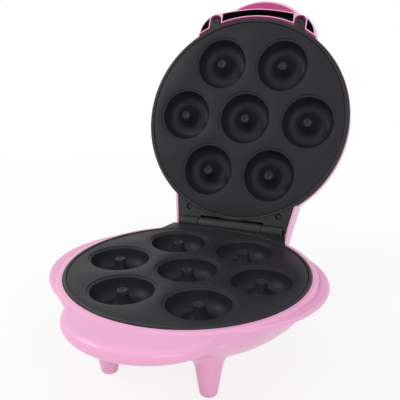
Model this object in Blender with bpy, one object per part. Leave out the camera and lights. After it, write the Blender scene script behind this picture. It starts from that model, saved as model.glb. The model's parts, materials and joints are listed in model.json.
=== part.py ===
"""Seven-ring countertop cooker with a hinged lid, standing open on its four legs.

Every piece is drawn about the middle of the parting plane, where base and lid meet when closed: X runs
along the hinge, -Y is the front and +Z is up. The lid's pieces then hang from an empty on the hinge axis.
"""

import math

import bmesh
import bpy
from mathutils import Matrix, Vector

# Layout
PARTING_HEIGHT = 0.0702
PARTING_GAP = 0.0006
HINGE_MARGIN = 0.0073
HINGE_DROP = 0.0006
OPEN_ANGLE = math.radians(110.7)
SEAT = 0.0003
OVERRUN = 0.003
WELD = 0.0000004
WALL = 0.0022

# Plates and their wells
PLATE_THICKNESS = 0.002
PLATE_RECESS = 0.0005
PLATE_WALL = 0.0016
WELL_RADIUS = 0.0251
WELL_LAND = 0.0118
PLATE_MARGIN = 0.0094
WELL_DEPTH = 0.0155
POST_TIP_RADIUS = 0.0038
POST_TIP_DROP = 0.0006
POST_FOOT_RADIUS = 0.0078
TROUGH_SHIFT = 0.00025

# Frames, the black rings that hold the plates
FRAME_RIM = 0.0027
FRAME_HEIGHT = 0.0055
FRAME_EDGE = 0.0008
FRAME_FLANGE = 0.0048
LID_RIM_HEIGHT = 0.0025
LID_RIM_OVERHANG = 0.0009
TAB_INSET = 0.0125
TAB_LENGTH = 0.011
TAB_WIDTH = 0.011
TAB_DEPTH = 0.004
TAB_DROP = 0.0043
SCREW_CIRCLE_STEP = math.radians(60)
SCREW_CIRCLE_START = math.radians(30)

# Hinge
KNUCKLE_RADIUS = 0.006
KNUCKLE_HALF = 0.0315
KNUCKLE_END_INSET = 0.0027
KNUCKLE_GAP = 0.0006
PIN_RADIUS = 0.002
PIN_CLEARANCE = 0.00035
PIN_INSET = 0.002
WEB_THICKNESS = 0.0045
SKIRT_DEPTH = 0.0085
SKIRT_THICKNESS = 0.002
STOP_RIB_INSET = 0.0055
STOP_RIB_WIDTH = 0.004
STOP_RIB_HEIGHT = 0.0025
STOP_RIB_SETBACK = 0.0035
SHELF_FRONT_HALF = 0.0625
SHELF_SIDE_HALF = 0.0605
SHELF_SIDE_SETBACK = 0.0165
SHELF_REAR_HALF = 0.0562
SHELF_CLEARANCE = 0.0006
HOOD_RADIUS = 0.0092
HOOD_THICKNESS = 0.0014

# Base shell: bowl, lobes, front lip, rear pod and legs
BOWL_MARGIN = 0.005
BOWL_DEPTH = 0.044
BOWL_SIDE_SHARES = (
    (0.0, 1.0),
    (0.546, 1.0),
    (0.655, 0.955),
    (0.74, 0.87),
    (0.848, 0.682),
    (0.932, 0.454),
    (0.981, 0.27),
    (0.998, 0.12),
    (1.0, 0.075),
)
COLLAR_DROP = 0.001
COLLAR_WIDTH = 0.003
LEDGE_WIDTH = 0.0038
LEDGE_THICKNESS = 0.0016
LOBE_REACH = 0.01
LOBE_END_INSET = 0.0085
LOBE_SETBACK = 0.0022
LOBE_DROP = 0.0024
LOBE_DISH = 0.0016
LOBE_THICKNESS = 0.0036
LOBE_ROOT = 0.0035
LIP_INSET = 0.0265
LIP_REACH = 0.025
LIP_SIDE_INSET = 0.043
LIP_TOP_DROP = 0.0012
LIP_THICKNESS = 0.0115
LIP_ROUNDING = 0.0055
LIP_SLOPE_INSET = 0.0105
LIP_SLOPE_SHARE = 0.05
POD_INSET = 0.0295
POD_REACH = 0.0085
POD_HALF_WIDTH = 0.046
POD_HEIGHT = 0.0205
POD_RISE = 0.003
POD_SQUARENESS = 4
POD_ROUNDING = 0.004
LEG_SPREAD = 0.0412
FRONT_LEG_INSET = 0.0441
REAR_LEG_SIDE_INSET = 0.01
REAR_LEG_INSET = 0.0165
LEG_TIP_RADIUS = 0.0069
LEG_TIP_ROUNDING = 0.0026
LEG_TAPER_SHARE = 0.158
LEG_ROOT_RISE = 0.014
LEG_WALL = 0.002
PAD_RADIUS = 0.0042
PAD_PROUD = 0.0006
PAD_RECESS = 0.0015
COLUMN_RADIUS = 0.0046
COUNTERBORE_RADIUS = 0.0037
COUNTERBORE_DEPTH = 0.008
HINGE_NOTCH_MARGIN = 0.0012

# Lid shell: crown, neck, handle block and grip lip
LID_MARGIN = 0.0013
LID_HEIGHT = 0.0365
LID_SIDE_SHARES = (
    (1.0, 0.0),
    (0.999, 0.22),
    (0.988, 0.46),
    (0.966, 0.6),
    (0.92, 0.72),
    (0.81, 0.83),
    (0.61, 0.92),
    (0.32, 0.98),
    (0.0, 1.0),
)
NECK_FRONT_INSET = 0.0408
NECK_SIDE_INSET = 0.0358
NECK_TAPER = 0.0103
NECK_OVERHANG = 0.0118
NECK_HEIGHT = 0.0222
NECK_ROUNDING = 0.003
NECK_WALL = 0.0018
NECK_FACE_THICKNESS = 0.0022
SLOT_FRONT = 0.0082
SHELL_EDGE_GAP = 0.0002
HANDLE_SHARES = (
    (1.0, 0.0),
    (0.96, 0.34),
    (0.88, 0.59),
    (0.785, 0.745),
    (0.62, 0.845),
    (0.31, 0.955),
    (0.0, 1.0),
)
HANDLE_SIDE_INSET = 0.0401
HANDLE_ROOT_INSET = 0.0178
HANDLE_DEPTH = 0.0103
HANDLE_HEIGHT = 0.0205
HANDLE_WALL = 0.0013
POCKET_DEPTH = 0.015
POCKET_MARGIN = 0.0025
EAR_WIDTH = 0.011
EAR_SIDE_INSET = 0.0122
EAR_LENGTH = 0.003
EAR_TIP_HALF = 0.0028
EAR_FIT = 0.0004
GRIP_INSET = 0.0228
GRIP_REACH = 0.0262
GRIP_SIDE_INSET = 0.0473
GRIP_BOTTOM = 0.0205
GRIP_THICKNESS = 0.0072
GRIP_ROUNDING = 0.0034

# Heating parts
HEATER_TUBE = 0.003
HEATER_GAP = math.radians(14)
HEATER_LEG = 0.0155
PAN_INSET = 0.0185
PAN_THICKNESS = 0.001
PAN_DEPTH = 0.0055
THERMOSTAT_RADIUS = 0.008
THERMOSTAT_HEIGHT = 0.0085
THERMOSTAT_TAB = 0.005
THERMOSTAT_TAB_WIDTH = 0.004
THERMOSTAT_TAB_THICKNESS = 0.001
FUSE_RADIUS = 0.002
FUSE_LENGTH = 0.018
FUSE_PLACE = (0.02, 0.034)
CLIP_THICKNESS = 0.0008
CLIP_WIDTH = 0.005
CLIP_FOOT = 0.004

# Supply
BLOCK_SIZE = (0.022, 0.012, 0.009)
BLOCK_SHIFT = 0.013
BLOCK_POCKET_RADIUS = 0.0022
BLOCK_POCKET_DEPTH = 0.004
LEAD_RADIUS = 0.0012
LEAD_STUB = 0.003
LEAD_STEPS = 10
GLAND_RISE = 0.0105
GLAND_BORE = 0.0034
GLAND_SLEEVE = 0.0052
GLAND_FLANGE = 0.0078
GLAND_FLANGE_THICKNESS = 0.0022
GLAND_SLEEVE_LENGTH = 0.0062

# Screws
SCREW_RADIUS = 0.0014
SCREW_HEAD_RADIUS = 0.003
SCREW_HEAD_HEIGHT = 0.002
SCREW_HOLE = 0.0018
CROSS_WIDTH = 0.0009
CROSS_LENGTH = 0.0034
CROSS_DEPTH = 0.0009
NECK_SCREW_INSET = 0.0093
EAR_SCREW_INSET = 0.0053
LID_SCREW_TIP = 0.012
LID_CUP_RADIUS = 0.0046
LID_CUP_HEIGHT = 0.0048
LID_CUP_BORE = 0.0034
LID_CUP_DEPTH = 0.0033
BOSS_RADIUS = 0.0036

# Lamps in the lid
LAMP_SPREAD = 0.0095
LAMP_INSET = 0.0153
LENS_RADIUS = 0.0042
LENS_CLEARANCE = 0.0004
LENS_CROWN = 0.0014
LENS_FLANGE_RADIUS = 0.0056
LENS_FLANGE_THICKNESS = 0.0012
HOLDER_SIZE = (0.038, 0.0105, 0.006)
LAMP_POST_RADIUS = 0.0016
BULB_RADIUS = 0.0021
BULB_LENGTH = 0.005

# Facets
ROUND = 48
WELL_ROUND = 16
LIP_ROUND = 32
POD_ROUND = 24
LEG_ROUND = 16
SMALL_ROUND = 12
TINY_ROUND = 8
ARC_STEPS = 8
HEATER_STEPS = 24

# Sizes that follow: the plate from its wells, and the frames and shells from the plate
WELL_PITCH = WELL_RADIUS * 2 + WELL_LAND
TROUGH_RADIUS = (WELL_RADIUS + POST_FOOT_RADIUS) / 2 - TROUGH_SHIFT
PLATE_RADIUS = WELL_PITCH + WELL_RADIUS + PLATE_MARGIN
FRAME_FACE = PARTING_GAP / 2
PLATE_FACE = FRAME_FACE + PLATE_RECESS
PLATE_BACK = PLATE_FACE + PLATE_THICKNESS
WELL_BACK = PLATE_FACE + WELL_DEPTH + PLATE_WALL
FRAME_RADIUS = PLATE_RADIUS + SEAT + FRAME_RIM
FRAME_BACK = FRAME_FACE + FRAME_HEIGHT
TAB_RADIUS = PLATE_RADIUS - TAB_INSET
HEATER_RADIUS = WELL_PITCH / 2
PAN_RADIUS = PLATE_RADIUS - PAN_INSET
BOWL_RADIUS = FRAME_RADIUS + BOWL_MARGIN
LOBE_HALF_WIDTH = BOWL_RADIUS + LOBE_REACH
LOBE_HALF_LENGTH = BOWL_RADIUS - LOBE_END_INSET
LIP_CENTRE = BOWL_RADIUS - LIP_INSET
LIP_HALF_WIDTH = BOWL_RADIUS - LIP_SIDE_INSET
LIP_HALF_LENGTH = LIP_INSET + LIP_REACH
LIP_SLOPE_START = BOWL_RADIUS - LIP_SLOPE_INSET
POD_CENTRE = BOWL_RADIUS - POD_INSET
POD_HALF_LENGTH = POD_INSET + POD_REACH
POD_BOTTOM = BOWL_DEPTH - POD_RISE
POD_TOP = POD_BOTTOM - POD_HEIGHT
GLAND_HEIGHT = POD_BOTTOM - GLAND_RISE
BLOCK_SETBACK = POD_CENTRE + BLOCK_SHIFT
FRONT_LEG_SETBACK = BOWL_RADIUS - FRONT_LEG_INSET
REAR_LEG_SPREAD = POD_HALF_WIDTH - REAR_LEG_SIDE_INSET
REAR_LEG_SETBACK = BOWL_RADIUS - REAR_LEG_INSET
LEG_ROOT_DEPTH = BOWL_DEPTH - LEG_ROOT_RISE
LID_RADIUS = FRAME_RADIUS + LID_MARGIN
NECK_FRONT = LID_RADIUS - NECK_FRONT_INSET
NECK_FRONT_HALF = LID_RADIUS - NECK_SIDE_INSET
NECK_REAR_HALF = NECK_FRONT_HALF - NECK_TAPER
NECK_SCREW_X = NECK_REAR_HALF - NECK_SCREW_INSET
NECK_SCREW_SETBACK = LID_RADIUS - NECK_SCREW_INSET
HANDLE_HALF_WIDTH = LID_RADIUS - HANDLE_SIDE_INSET
HANDLE_ROOT = LID_RADIUS - HANDLE_ROOT_INSET
HANDLE_REACH = LID_RADIUS + HANDLE_DEPTH
POCKET_INNER_RADIUS = LID_RADIUS + POCKET_MARGIN
EAR_OUTER = HANDLE_HALF_WIDTH - EAR_SIDE_INSET
EAR_INNER = EAR_OUTER - EAR_WIDTH
EAR_REACH = LID_RADIUS + EAR_LENGTH
EAR_SCREW_SETBACK = EAR_REACH - EAR_SCREW_INSET
GRIP_CENTRE = LID_RADIUS - GRIP_INSET
GRIP_HALF_WIDTH = LID_RADIUS - GRIP_SIDE_INSET
GRIP_HALF_LENGTH = GRIP_INSET + GRIP_REACH
LAMP_SETBACK = LID_RADIUS - LAMP_INSET
HINGE_SETBACK = FRAME_RADIUS + HINGE_MARGIN
KNUCKLE_END = NECK_REAR_HALF - KNUCKLE_END_INSET
STOP_RIB_SPREAD = KNUCKLE_HALF - STOP_RIB_INSET
FLANGE_RADIUS = PLATE_RADIUS - FRAME_FLANGE
TAB_FACE = TAB_DROP + FRAME_FACE
TAB_BACK = TAB_FACE + TAB_DEPTH
LEDGE = -FRAME_BACK - SEAT
LEDGE_RADIUS = FRAME_RADIUS - LEDGE_WIDTH
LEDGE_ROOT = LEDGE - LEDGE_THICKNESS - LEDGE_WIDTH
HINGE = Vector((0, HINGE_SETBACK, -HINGE_DROP))
LID_RIM_BACK = FRAME_FACE + LID_RIM_HEIGHT
LID_CUP_TOP = FRAME_FACE + LID_CUP_HEIGHT
LID_CUP_FLOOR = FRAME_FACE + LID_CUP_DEPTH
SCREW_ANGLES = tuple(SCREW_CIRCLE_START + SCREW_CIRCLE_STEP * n for n in range(6))
PLATE_SCREW_ANGLES = (SCREW_ANGLES[1], SCREW_ANGLES[4])
BASE_SCREW_ANGLES = (SCREW_ANGLES[0], SCREW_ANGLES[2], SCREW_ANGLES[3], SCREW_ANGLES[5])
CORNERS = (("front_left", -1, -1), ("front_right", 1, -1), ("rear_left", -1, 1), ("rear_right", 1, 1))

MATERIALS = {
    "pink_shell": ((0.84, 0.35, 0.56), 0.3, 0.0),
    "black_frame": ((0.03, 0.028, 0.032), 0.5, 0.0),
    "coated_plate": ((0.035, 0.032, 0.034), 0.42, 0.2),
    "steel": ((0.55, 0.55, 0.55), 0.3, 1.0),
    "dark_steel": ((0.06, 0.06, 0.06), 0.4, 1.0),
    "tinned_sheet": ((0.6, 0.6, 0.58), 0.4, 1.0),
    "heater_sheath": ((0.2, 0.19, 0.19), 0.5, 1.0),
    "rubber": ((0.05, 0.05, 0.05), 0.85, 0.0),
    "switch_plastic": ((0.75, 0.72, 0.62), 0.6, 0.0),
    "lead_sleeve": ((0.8, 0.78, 0.7), 0.8, 0.0),
    "red_lens": ((0.6, 0.02, 0.02), 0.15, 0.0),
    "green_lens": ((0.03, 0.4, 0.08), 0.15, 0.0),
    "bulb_glass": ((0.8, 0.45, 0.25), 0.1, 0.0),
}


def clear_scene():
    for old in list(bpy.data.objects):
        bpy.data.objects.remove(old, do_unlink=True)


def make_material(name):
    colour, roughness, metallic = MATERIALS[name]
    material = bpy.data.materials.new(name)
    material.use_nodes = True
    shader = material.node_tree.nodes["Principled BSDF"]
    shader.inputs["Base Color"].default_value = (*colour, 1)
    shader.inputs["Roughness"].default_value = roughness
    shader.inputs["Metallic"].default_value = metallic
    return material


# Shapes

def object_from(name, bm):
    bmesh.ops.recalc_face_normals(bm, faces=bm.faces)
    mesh = bpy.data.meshes.new(name)
    bm.to_mesh(mesh)
    bm.free()
    made = bpy.data.objects.new(name, mesh)
    bpy.context.scene.collection.objects.link(made)
    return made


def skinned(name, rings):
    """A closed solid through rings of points; a ring of one point closes it to a tip."""
    bm = bmesh.new()
    rows = [[bm.verts.new(point) for point in ring] for ring in rings]
    for low, high in zip(rows, rows[1:]):
        for n in range(max(len(low), len(high))):
            near, far = low[n % len(low)], high[n % len(high)]
            after = n + 1
            corners = [near, low[after % len(low)], high[after % len(high)], far]
            bm.faces.new(list(dict.fromkeys(corners)))
    bmesh.ops.triangulate(bm, faces=bm.faces)
    for row in (rows[0], rows[-1]):
        if len(row) > 1:
            bm.faces.new(row)
    return object_from(name, bm)


def turned(name, profile, count, place=(0, 0)):
    """A solid of revolution about Z from (radius, height) points; its ends are on the axis or are caps."""
    x, y = place
    angles = [2 * math.pi * (n + 0.5) / count for n in range(count)]
    rings = []
    for radius, height in profile:
        if radius == 0:
            rings.append([Vector((x, y, height))])
            continue
        outline = [(x + radius * math.cos(a), y + radius * math.sin(a)) for a in angles]
        rings.append([Vector((*point, height)) for point in outline])
    return skinned(name, rings)


def ring_solid(name, profile, count):
    """A ring turned about Z from a closed loop of (radius, height) points."""
    bm = bmesh.new()
    rows = []
    for n in range(count):
        angle = 2 * math.pi * (n + 0.5) / count
        rows.append([bm.verts.new((r * math.cos(angle), r * math.sin(angle), z)) for r, z in profile])
    for n, row in enumerate(rows):
        after = rows[(n + 1) % count]
        for k in range(len(profile)):
            follow = (k + 1) % len(profile)
            bm.faces.new((row[k], after[k], after[follow], row[follow]))
    return object_from(name, bm)


def prism(name, outline, low, high):
    return skinned(name, [[Vector((x, y, z)) for x, y in outline] for z in (low, high)])


def box(name, low, high):
    outline = ((low[0], low[1]), (high[0], low[1]), (high[0], high[1]), (low[0], high[1]))
    return prism(name, outline, low[2], high[2])


def rod(name, start, end, radius, count):
    """A straight round bar from start to end, both along one axis of the frame."""
    along = Vector(end) - Vector(start)
    turn = along.to_track_quat("Z", "Y").to_matrix().to_4x4()
    made = turned(name, ((radius, 0), (radius, along.length)), count)
    made.data.transform(Matrix.Translation(start) @ turn)
    return made


def applied(target):
    """The object with its modifiers made part of its mesh."""
    bpy.context.view_layer.update()
    graph = bpy.context.evaluated_depsgraph_get()
    mesh = bpy.data.meshes.new_from_object(target.evaluated_get(graph))
    target.modifiers.clear()
    target.data = mesh
    bm = bmesh.new()
    bm.from_mesh(mesh)
    bmesh.ops.remove_doubles(bm, verts=bm.verts, dist=WELD)
    bmesh.ops.dissolve_degenerate(bm, edges=bm.edges, dist=WELD)
    bmesh.ops.triangulate(bm, faces=bm.faces)
    bm.to_mesh(mesh)
    bm.free()
    return target


def combined(target, others, operation):
    for other in others:
        step = target.modifiers.new(operation.lower(), "BOOLEAN")
        step.operation = operation
        step.solver = "EXACT"
        step.object = other
        applied(target)
        bpy.data.objects.remove(other, do_unlink=True)
    return target


def joined(target, *others):
    return combined(target, others, "UNION")


def cut(target, *others):
    return combined(target, others, "DIFFERENCE")


def together(name, pieces):
    """Several separate bodies as one object, for one Boolean."""
    bm = bmesh.new()
    for piece in pieces:
        bm.from_mesh(piece.data)
        bpy.data.objects.remove(piece, do_unlink=True)
    return object_from(name, bm)


def turned_over(target):
    """Mirrored through the parting plane, so that a base piece serves the lid."""
    target.data.transform(Matrix.Scale(-1, 4, (0, 0, 1)))
    target.data.flip_normals()
    return target


def ellipse(half_x, half_y, centre_y, count, squareness=2):
    points = []
    for n in range(count):
        angle = 2 * math.pi * (n + 0.5) / count
        c, s = math.cos(angle), math.sin(angle)
        reach = (abs(c) ** squareness + abs(s) ** squareness) ** (-1 / squareness)
        points.append((half_x * reach * c, centre_y + half_y * reach * s))
    return points


def polar(radius, angle):
    return radius * math.cos(angle), radius * math.sin(angle)


def inset_profile(profile, depth):
    """The same turned profile moved in by a wall's depth, from (radius, height) points on its outside."""
    moved = []
    for n, (radius, height) in enumerate(profile):
        before = profile[max(n - 1, 0)]
        after = profile[min(n + 1, len(profile) - 1)]
        along = Vector((after[0] - before[0], after[1] - before[1])).normalized()
        moved.append((max(radius - depth * along.y, 0), height + depth * along.x))
    return moved


# Plates

def well_centres():
    ring = [polar(WELL_PITCH, math.pi / 3 * n) for n in range(6)]
    return [(0, 0), *ring]


def well_profile():
    """The well's hollow, from the post's tip on the axis out to its mouth."""
    face = -PLATE_FACE
    tip = -PLATE_FACE - POST_TIP_DROP
    points = [(0, tip), (POST_TIP_RADIUS, tip)]
    for angle in (math.radians(140), math.radians(90)):
        width = TROUGH_RADIUS - POST_FOOT_RADIUS
        points.append((TROUGH_RADIUS + width * math.cos(angle), face - WELL_DEPTH * math.sin(angle)))
    for angle in (math.radians(40), 0):
        width = WELL_RADIUS - TROUGH_RADIUS
        points.append((TROUGH_RADIUS + width * math.cos(angle), face - WELL_DEPTH * math.sin(angle)))
    return points + [(WELL_RADIUS, OVERRUN), (0, OVERRUN)]


def bulge_profile():
    """The back of a well, seen from behind the plate."""
    rim = WELL_RADIUS + PLATE_WALL
    shoulder = TROUGH_RADIUS + (WELL_RADIUS - TROUGH_RADIUS) * math.cos(math.radians(60)) + PLATE_WALL
    middle = -PLATE_FACE - WELL_DEPTH / 2
    return [
        (rim, -PLATE_BACK + PLATE_THICKNESS / 2),
        (rim, middle),
        (shoulder, -WELL_BACK + PLATE_WALL),
        (TROUGH_RADIUS + PLATE_WALL / 2, -WELL_BACK),
    ]


def plate(name):
    made = turned(name, ((PLATE_RADIUS, -PLATE_BACK), (PLATE_RADIUS, -PLATE_FACE)), ROUND)
    bulges = [turned("bulge", bulge_profile(), SMALL_ROUND, place) for place in well_centres()]
    bosses = []
    for angle in PLATE_SCREW_ANGLES:
        reach = ((BOSS_RADIUS, -TAB_FACE + SEAT), (BOSS_RADIUS, -PLATE_BACK + PLATE_THICKNESS / 2))
        bosses.append(turned("boss", reach, SMALL_ROUND, polar(TAB_RADIUS, angle)))
    joined(made, together("backs", bulges + bosses))
    wells = [turned("well", well_profile(), WELL_ROUND, place) for place in well_centres()]
    tip = -PLATE_BACK + PLATE_THICKNESS / 2 + SEAT
    holes = []
    for angle in PLATE_SCREW_ANGLES:
        hole = ((SCREW_HOLE, -TAB_BACK), (SCREW_HOLE, tip))
        holes.append(turned("hole", hole, TINY_ROUND, polar(TAB_RADIUS, angle)))
    return cut(made, together("hollows", wells + holes))


# Frames

def frame_ring(name, outer, rim_side, screw_angles):
    """The ring round a plate: a rim beside it, and a flange behind it with a tab at each screw.

    rim_side holds the (radius, height) points between the rim's outer edge and the flange's back.
    """
    inner = PLATE_RADIUS + SEAT
    profile = [
        (outer - FRAME_EDGE, -FRAME_FACE),
        (outer, -FRAME_FACE - FRAME_EDGE),
        *rim_side,
        (FLANGE_RADIUS, -FRAME_BACK),
        (FLANGE_RADIUS, -PLATE_BACK - SEAT),
        (inner, -PLATE_BACK - SEAT),
        (inner, -FRAME_FACE),
    ]
    made = ring_solid(name, profile, ROUND)
    tabs = []
    for angle in screw_angles:
        half_length, half_width = TAB_LENGTH / 2, TAB_WIDTH / 2
        low = (-half_length, -half_width, -TAB_BACK)
        tab = box("tab", low, (half_length + FRAME_FLANGE, half_width, -TAB_FACE))
        tab.data.transform(Matrix.Rotation(angle, 4, "Z") @ Matrix.Translation((TAB_RADIUS, 0, 0)))
        tabs.append(tab)
    joined(made, together("tabs", tabs))
    holes = []
    for angle in screw_angles:
        hole = ((SCREW_HOLE, -TAB_BACK - OVERRUN), (SCREW_HOLE, -TAB_FACE + OVERRUN / 2))
        holes.append(turned("hole", hole, TINY_ROUND, polar(TAB_RADIUS, angle)))
    return cut(made, together("holes", holes))


def knuckle(name, start, end):
    low = (start, HINGE.y, HINGE.z)
    return rod(name, low, (end, HINGE.y, HINGE.z), KNUCKLE_RADIUS, LEG_ROUND)


def pin_bore():
    reach = KNUCKLE_END + OVERRUN
    low = (-reach, HINGE.y, HINGE.z)
    return rod("bore", low, (reach, HINGE.y, HINGE.z), PIN_RADIUS + PIN_CLEARANCE, SMALL_ROUND)


def arc_band(inner, outer, half_width):
    """The outline of a strip behind the plate, between two circles and as wide as a knuckle."""
    def along(radius):
        limit = math.asin(half_width / radius)
        angles = [limit * (2 * n / ARC_STEPS - 1) for n in range(ARC_STEPS + 1)]
        return [(radius * math.sin(a), radius * math.cos(a)) for a in angles]
    return along(inner) + along(outer)[::-1]


def shelf_outline(margin):
    """The plan of the black shelf behind the ring, which fills the gap up to the lid's knuckles."""
    middle = FRAME_RADIUS - FRAME_RIM / 2 - margin
    front_half = SHELF_FRONT_HALF + margin
    limit = math.asin(front_half / middle)
    side_back = FRAME_RADIUS - SHELF_SIDE_SETBACK
    back = HINGE_SETBACK - KNUCKLE_RADIUS - SHELF_CLEARANCE + margin
    front = [polar(middle, math.pi / 2 + limit * (2 * n / ARC_STEPS - 1)) for n in range(ARC_STEPS + 1)]
    left = [(-SHELF_SIDE_HALF - margin, side_back), (-SHELF_REAR_HALF - margin, back)]
    return front + left + [(-x, y) for x, y in reversed(left)]


def base_frame():
    made = frame_ring("base_frame", FRAME_RADIUS, [(FRAME_RADIUS, -FRAME_BACK)], SCREW_ANGLES)
    middle = FRAME_RADIUS - FRAME_RIM / 2
    half = KNUCKLE_HALF
    limit = math.asin(half / middle)
    web_front = [polar(middle, math.pi / 2 + limit * (2 * n / ARC_STEPS - 1)) for n in range(ARC_STEPS + 1)]
    web = web_front + [(-half, HINGE.y), (half, HINGE.y)]
    top = HINGE.z - FRAME_FACE
    joined(made, prism("web", web, top - WEB_THICKNESS, top))
    skirt = arc_band(FRAME_RADIUS - SKIRT_THICKNESS / 2, FRAME_RADIUS + SKIRT_THICKNESS / 2, half)
    joined(made, prism("skirt", skirt, -FRAME_BACK - SKIRT_DEPTH, top - FRAME_EDGE))
    joined(made, prism("shelf", shelf_outline(0), -FRAME_BACK + SEAT, -FRAME_FACE - SEAT))
    joined(made, knuckle("middle_knuckle", -half, half))
    ribs = []
    reach = HINGE.y - STOP_RIB_SETBACK
    for side in (-1, 1):
        start, end = sorted((side * STOP_RIB_SPREAD, side * (STOP_RIB_SPREAD - STOP_RIB_WIDTH)))
        back = FRAME_RADIUS * math.cos(math.asin(STOP_RIB_SPREAD / FRAME_RADIUS)) - SKIRT_THICKNESS / 2
        low = HINGE.z - NECK_OVERHANG - STOP_RIB_HEIGHT / 5
        ribs.append(box("rib", (start, back, low), (end, reach, low + STOP_RIB_HEIGHT)))
    joined(made, together("ribs", ribs))
    return cut(made, pin_bore())


def ear_outline(margin):
    """One screw ear of the lid frame, from inside the ring out to its rounded tip."""
    middle = (EAR_INNER + EAR_OUTER) / 2
    half = (EAR_OUTER - EAR_INNER) / 2 + margin
    tip = EAR_TIP_HALF + margin
    reach = EAR_REACH + margin
    shoulder = reach - (half - tip)
    root = FLANGE_RADIUS - WELL_RADIUS
    return [
        (middle + half, -root),
        (middle + half, -shoulder),
        (middle + tip, -reach),
        (middle - tip, -reach),
        (middle - half, -shoulder),
        (middle - half, -root),
    ]


def mirrored(outline):
    return [(-x, y) for x, y in outline][::-1]


def neck_outline(inset):
    """The neck's plan from its front line to its rear corners, which are cut at 45 degrees."""
    rear = HINGE_SETBACK + NECK_OVERHANG - inset
    corner = NECK_ROUNDING - inset * math.tan(math.pi / 8)
    side = [
        (NECK_FRONT_HALF - inset, NECK_FRONT),
        (NECK_REAR_HALF - inset, rear - corner),
        (NECK_REAR_HALF - inset - corner, rear),
    ]
    return side + mirrored(side)


def rim_disc():
    """A disc out to the middle of the frame's rim, for cutting what grows from the rim's outside."""
    radius = FRAME_RADIUS - FRAME_RIM / 2
    return turned("disc", ((radius, -OVERRUN), (radius, LID_HEIGHT)), ROUND)


def lid_frame():
    outer = FRAME_RADIUS + LID_RIM_OVERHANG
    inside_crown = LID_RADIUS - WALL - SEAT
    rim_side = [(outer, -LID_RIM_BACK), (inside_crown, -LID_RIM_BACK), (inside_crown, -FRAME_BACK)]
    made = turned_over(frame_ring("lid_frame", outer, rim_side, PLATE_SCREW_ANGLES))
    face = prism("neck_face", neck_outline(NECK_WALL + SEAT), FRAME_FACE, FRAME_FACE + NECK_FACE_THICKNESS)
    joined(made, cut(face, rim_disc()))
    half = KNUCKLE_HALF + KNUCKLE_GAP
    slot_low = (-half, HINGE.y - SLOT_FRONT, -OVERRUN)
    cut(made, box("slot", slot_low, (half, HINGE.y + NECK_OVERHANG + OVERRUN, KNUCKLE_RADIUS + OVERRUN)))
    joined(made, hood())
    for side in (-1, 1):
        joined(made, knuckle("outer_knuckle", side * half, side * KNUCKLE_END))
    for outline in (ear_outline(0), mirrored(ear_outline(0))):
        joined(made, cut(prism("ear", outline, FRAME_FACE, LID_RIM_BACK), rim_disc()))
    cut(made, pin_bore())
    cups, holes = [], []
    for place in lid_screw_places():
        cup = ((LID_CUP_RADIUS, FRAME_FACE + SEAT), (LID_CUP_RADIUS, LID_CUP_TOP))
        cups.append(turned("cup", cup, SMALL_ROUND, place))
        holes.append(turned("hole", lid_screw_hole(), SMALL_ROUND, place))
    joined(made, together("cups", cups))
    return cut(made, together("holes", holes))


def hood():
    """A half-round cover over the slot, which closes the lid behind the middle knuckle."""
    half = KNUCKLE_HALF + KNUCKLE_GAP + HOOD_THICKNESS
    inside_half = half + OVERRUN
    low, high = (-half, HINGE.y, HINGE.z), (half, HINGE.y, HINGE.z)
    made = rod("hood", low, high, HOOD_RADIUS, POD_ROUND)
    low, high = (-inside_half, HINGE.y, HINGE.z), (inside_half, HINGE.y, HINGE.z)
    cut(made, rod("hood_hollow", low, high, HOOD_RADIUS - HOOD_THICKNESS, POD_ROUND))
    low = (-inside_half, HINGE.y - HOOD_RADIUS * 2, -HOOD_RADIUS * 2)
    return cut(made, box("below", low, (inside_half, HINGE.y + HOOD_RADIUS * 2, FRAME_FACE + SEAT)))


def lid_screw_hole():
    """A cup's hollow for the head, and the hole through its floor for the shank."""
    return [
        (LID_CUP_BORE, -OVERRUN),
        (LID_CUP_BORE, LID_CUP_FLOOR),
        (SCREW_HOLE, LID_CUP_FLOOR),
        (SCREW_HOLE, LID_CUP_TOP + OVERRUN),
    ]


def lid_screw_places():
    ear = (EAR_INNER + EAR_OUTER) / 2
    return (
        (-ear, -EAR_SCREW_SETBACK),
        (ear, -EAR_SCREW_SETBACK),
        (-NECK_SCREW_X, NECK_SCREW_SETBACK),
        (NECK_SCREW_X, NECK_SCREW_SETBACK),
    )


# Base shell

def bowl_outside():
    """The bowl's outside from the floor's middle up to the collar, as (radius, height)."""
    side = [(BOWL_RADIUS * out, -BOWL_DEPTH * down) for out, down in BOWL_SIDE_SHARES]
    top = -FRAME_FACE - COLLAR_DROP
    edge = BOWL_RADIUS - COLLAR_WIDTH / 3
    return side + [(edge, top - FRAME_EDGE), (BOWL_RADIUS - COLLAR_WIDTH / 2, top), (0, top)]


def lobe_rings():
    top = -FRAME_FACE - LOBE_DROP
    rings = []
    levels = (
        (-LOBE_ROOT * 2, -LOBE_THICKNESS - LOBE_ROOT),
        (-LOBE_ROOT / 2, -LOBE_THICKNESS - LOBE_ROOT / 4),
        (0, -LOBE_THICKNESS / 2),
        (0, -LOBE_THICKNESS / 5),
        (-LOBE_THICKNESS / 3, 0),
        (LOBE_DISH - LOBE_HALF_WIDTH / 8, -LOBE_DISH),
    )
    for grow, drop in levels:
        outline = ellipse(LOBE_HALF_WIDTH + grow, LOBE_HALF_LENGTH + grow, -LOBE_SETBACK, ROUND)
        rings.append([Vector((x, y, top + drop)) for x, y in outline])
    return rings


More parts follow.
